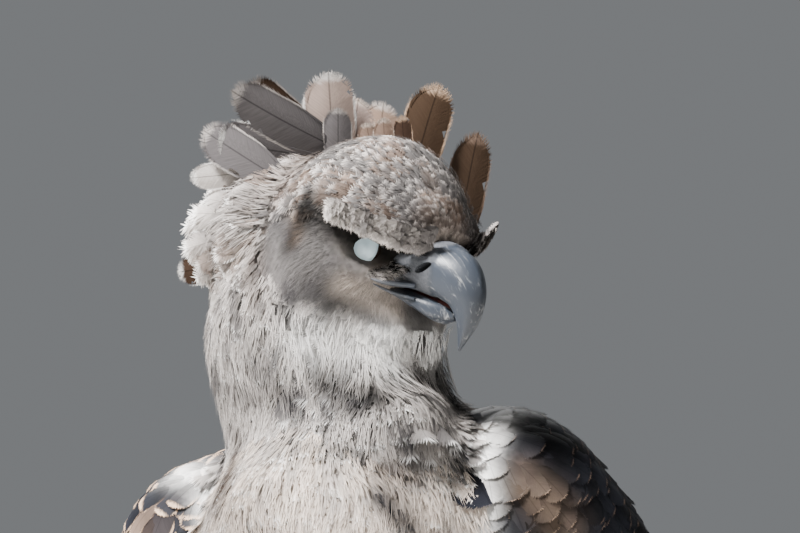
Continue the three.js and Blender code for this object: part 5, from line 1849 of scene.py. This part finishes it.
class EAGLE_OT_legs(bpy.types.Operator):
    """Bare legs and toes with their scutes, pads and claws"""

    bl_idname = "eagle.legs"
    bl_label = "Legs"

    def execute(self, context):
        skin_look = scaled_skin()
        horn_look = talon_material()
        for name, side in SIDES:
            foot = foot_place(side)
            count = 30
            shank = curve_through([np.array(ankle(side)) + (0, 0, 16), np.array(ankle(side)) + (0, -6, -20),
                                   foot + (0, 2, 40), foot + (0, 2, 14)], count)
            t = np.linspace(0, 1, count)
            radii = lerp(TARSUS["radius"][0], TARSUS["radius"][1], t) + 2.5 * smooth(t, 0.8, 1) - 0.6
            bodies = [loft("shank", tube(shank, radii, FRONT, 28))]
            plates = [plate_rows(shank, radii, FRONT, TARSUS["plates"], (0.18, 0.9), 72)]
            for _, degrees, length, _, scutes in TOES:
                route = toe_route(side, degrees, length, count)
                knuckles = 1.2 * np.cos(t * 2 * math.pi * (2 if length < 60 else 3))
                toe_radii = lerp(TOE_RADIUS + 1.2, TOE_RADIUS - 2.4, t) - knuckles * smooth(t, 0.1, 0.3)
                toe_radii = toe_radii * np.where(t > 0.97, 0.86, 1)
                bodies.append(loft("toe", tube(route, toe_radii, UP, 24)))
                plates.append(plate_rows(route, toe_radii, UP, scutes, (0.30, 0.96), 66))
            leg = joined(f"leg_{name}", bodies)
            modify(leg, "REMESH", mode="VOXEL", voxel_size=1.7 * MM)
            modify(leg, "SMOOTH", factor=0.5, iterations=4)
            points = points_of(leg)
            points[:, 2] = np.maximum(points[:, 2], FLOOR)
            set_points(leg, points)
            choose(leg)
            bpy.ops.object.shade_smooth()
            finished(leg, skin_look, "yellow_skin", f"tarsus_{name}", f"foot_{name}")

            start, points, faces = 0, [], []
            for plate_points, plate_faces in plates:
                points.append(plate_points)
                faces.append(plate_faces + start)
                start += len(plate_points)
            scutes = piece_from(f"scutes_{name}", np.concatenate(points), np.concatenate(faces))
            modify(scutes, "SOLIDIFY", thickness=1.4 * MM, offset=-1.0)
            finished(scutes, skin_look, "yellow_skin", smooth_angle=50)

            for toe, degrees, length, claw_length, _ in TOES:
                way = heading(side, degrees)
                begin, end = rad(CLAW["start"]), rad(CLAW["end"])
                root = foot + way * (length - 5) + (0, 0, 15)
                radius = claw_length / (end - begin)
                sections = []
                for r in range(CLAW["rows"] + 1):
                    t = r / CLAW["rows"]
                    turn = lerp(begin, end, t)
                    centre = (root + way * radius * (math.sin(turn) - math.sin(begin))
                              + np.array([0, 0, radius * (math.cos(turn) - math.cos(begin))]))
                    ahead = way * math.cos(turn) - np.array([0, 0, math.sin(turn)])
                    thick = lerp(claw_length * CLAW["deep"], 0.5, t ** 1.25)
                    sections.append(ring(centre, ahead, UP, thick * 0.8, thick, CLAW["sides"]))
                claw = loft(f"talon_{toe}_{name}", sections)
                finished(claw, horn_look, "talon_horn", f"claw_{toe}_{name}", smooth_angle=60)
        return {"FINISHED"}


def scaled_skin():
    """Bare leg: horny yellow skin with fine rounded scales, dull, darker in the gaps between the scales."""
    material, surface, add = new_material("scaled leg skin", Roughness=0.5, IOR=1.45)
    place = add("TexCoord")
    scales = add("TexVoronoi", {"Scale": 1 / (2.6 * MM), "Randomness": 0.8, "Vector": (place, "Object")})
    _, tone = clouded(add, place, 18, 4.0, colour_of("shank"), srgb("#a98a3c"))
    gap = add("MapRange", {
        "From Min": 0.35, "From Max": 0.75, "To Min": 1.0, "To Max": 0.55, "Value": (scales, "Distance")})
    colour = add("VectorMath", {0: (tone, 2), "Scale": (gap, "Result")}, operation="SCALE")
    link(colour, "Vector", surface, "Base Color")
    bump = add("Bump", {"Strength": 0.7, "Distance": 0.4 * MM, "Height": (gap, "Result")})
    link(bump, "Normal", surface, "Normal")
    return material


def talon_material():
    """Claw: black keratin, hard and polished, with duller and greyer streaks."""
    material, surface, add = new_material("talon horn", IOR=1.54)
    place = add("TexCoord")
    grain, tone = clouded(add, place, 2.2, 5.0, colour_of("talon"), srgb("#3b3835"))
    link(tone, 2, surface, "Base Color")
    gloss = add("MapRange", {"To Min": 0.18, "To Max": 0.42, "Value": (grain, "Fac")})
    link(gloss, "Result", surface, "Roughness")
    bump = add("Bump", {"Strength": 0.3, "Distance": 0.15 * MM, "Height": (grain, "Fac")})
    link(bump, "Normal", surface, "Normal")
    return material


# Name, degrees round to the bird's left, degrees up, metres away, size in metres and power in watts
LIGHTS = (("key", -26, 52, 2.2, 0.40, 310), ("fill", 62, 18, 2.4, 1.6, 8), ("rim", -150, 40, 2.4, 1.0, 45))


class EAGLE_OT_stage(bpy.types.Operator):
    """Pale floor, soft light and the camera"""

    bl_idname = "eagle.stage"
    bl_label = "Stage"

    def execute(self, context):
        clear_selection()
        bpy.ops.mesh.primitive_plane_add(size=6, location=(0, 0, 0))
        floor = context.object
        floor.name = "floor"
        material, *_ = new_material("matt painted board", Base_Color=rgba(srgb("#dcdad6")), Roughness=0.85)
        floor.data.materials.append(material)

        world = bpy.data.worlds.new("studio")
        world.use_nodes = True
        world.node_tree.nodes["Background"].inputs["Color"].default_value = rgba(srgb("#d6dade"))
        world.node_tree.nodes["Background"].inputs["Strength"].default_value = 0.28
        context.scene.world = world

        aim = Vector(to_frame((0, -60, 480)))
        for name, azimuth, height, distance, size, power in LIGHTS:
            way = heading_at(azimuth, height)
            light = bpy.data.lights.new(name, "AREA")
            light.energy, light.size = power, size
            lamp = bpy.data.objects.new(name, light)
            lamp.location = aim + way * distance
            lamp.rotation_euler = (-way).to_track_quat("-Z", "Y").to_euler()
            context.collection.objects.link(lamp)

        camera = bpy.data.cameras.new("camera")
        camera.sensor_width = 36
        camera.lens = 36 * VIEW["distance"] / (VIEW["pixels"][0] / VIEW["scale"])
        camera.clip_end = 50
        seat = bpy.data.objects.new("camera", camera)
        look = -heading_at(VIEW["azimuth"], -VIEW["rise"])
        target = Vector(to_frame(VIEW["target"]))
        seat.location = target - look * VIEW["distance"] * MM
        seat.rotation_euler = look.to_track_quat("-Z", "Y").to_euler()
        context.collection.objects.link(seat)
        context.scene.camera = seat
        return {"FINISHED"}


# The photo's view: how far the camera stands round to the bird's left, how far it looks up, the point in
# the middle of the picture, and pixels per millimetre there
VIEW = {"azimuth": 25, "rise": 5, "target": (19.5, -107.8, 584.8), "distance": 4000, "pixels": (800, 533),
        "scale": 2.1}

OPERATORS = (EAGLE_OT_stage, EAGLE_OT_skin, EAGLE_OT_coat, EAGLE_OT_brow, EAGLE_OT_crest, EAGLE_OT_flight,
             EAGLE_OT_tail, EAGLE_OT_eyes, EAGLE_OT_bill, EAGLE_OT_legs)


class EAGLE_PT_panel(bpy.types.Panel):
    """One button for each piece or group of pieces, with the sizes and colours below"""

    bl_label = "Harpy Eagle"
    bl_idname = "EAGLE_PT_panel"
    bl_space_type = "VIEW_3D"
    bl_region_type = "UI"
    bl_category = "Eagle"

    def draw(self, context):
        for step in OPERATORS:
            self.layout.operator(step.bl_idname)
        for group in (context.scene.eagle_sizes, context.scene.eagle_colours):
            box = self.layout.box()
            for name in group.__annotations__:
                box.prop(group, name)


CLASSES = (EagleColours, EagleSizes, *OPERATORS, EAGLE_PT_panel)


def register():
    for cls in CLASSES:
        bpy.utils.register_class(cls)
    bpy.types.Scene.eagle_colours = bpy.props.PointerProperty(type=EagleColours)
    bpy.types.Scene.eagle_sizes = bpy.props.PointerProperty(type=EagleSizes)


def unregister():
    del bpy.types.Scene.eagle_colours
    del bpy.types.Scene.eagle_sizes
    for cls in reversed(CLASSES):
        bpy.utils.unregister_class(cls)


def main():
    register()
    for operator in OPERATORS:
        group, name = operator.bl_idname.split(".")
        getattr(getattr(bpy.ops, group), name)()


if __name__ == "__main__":
    main()
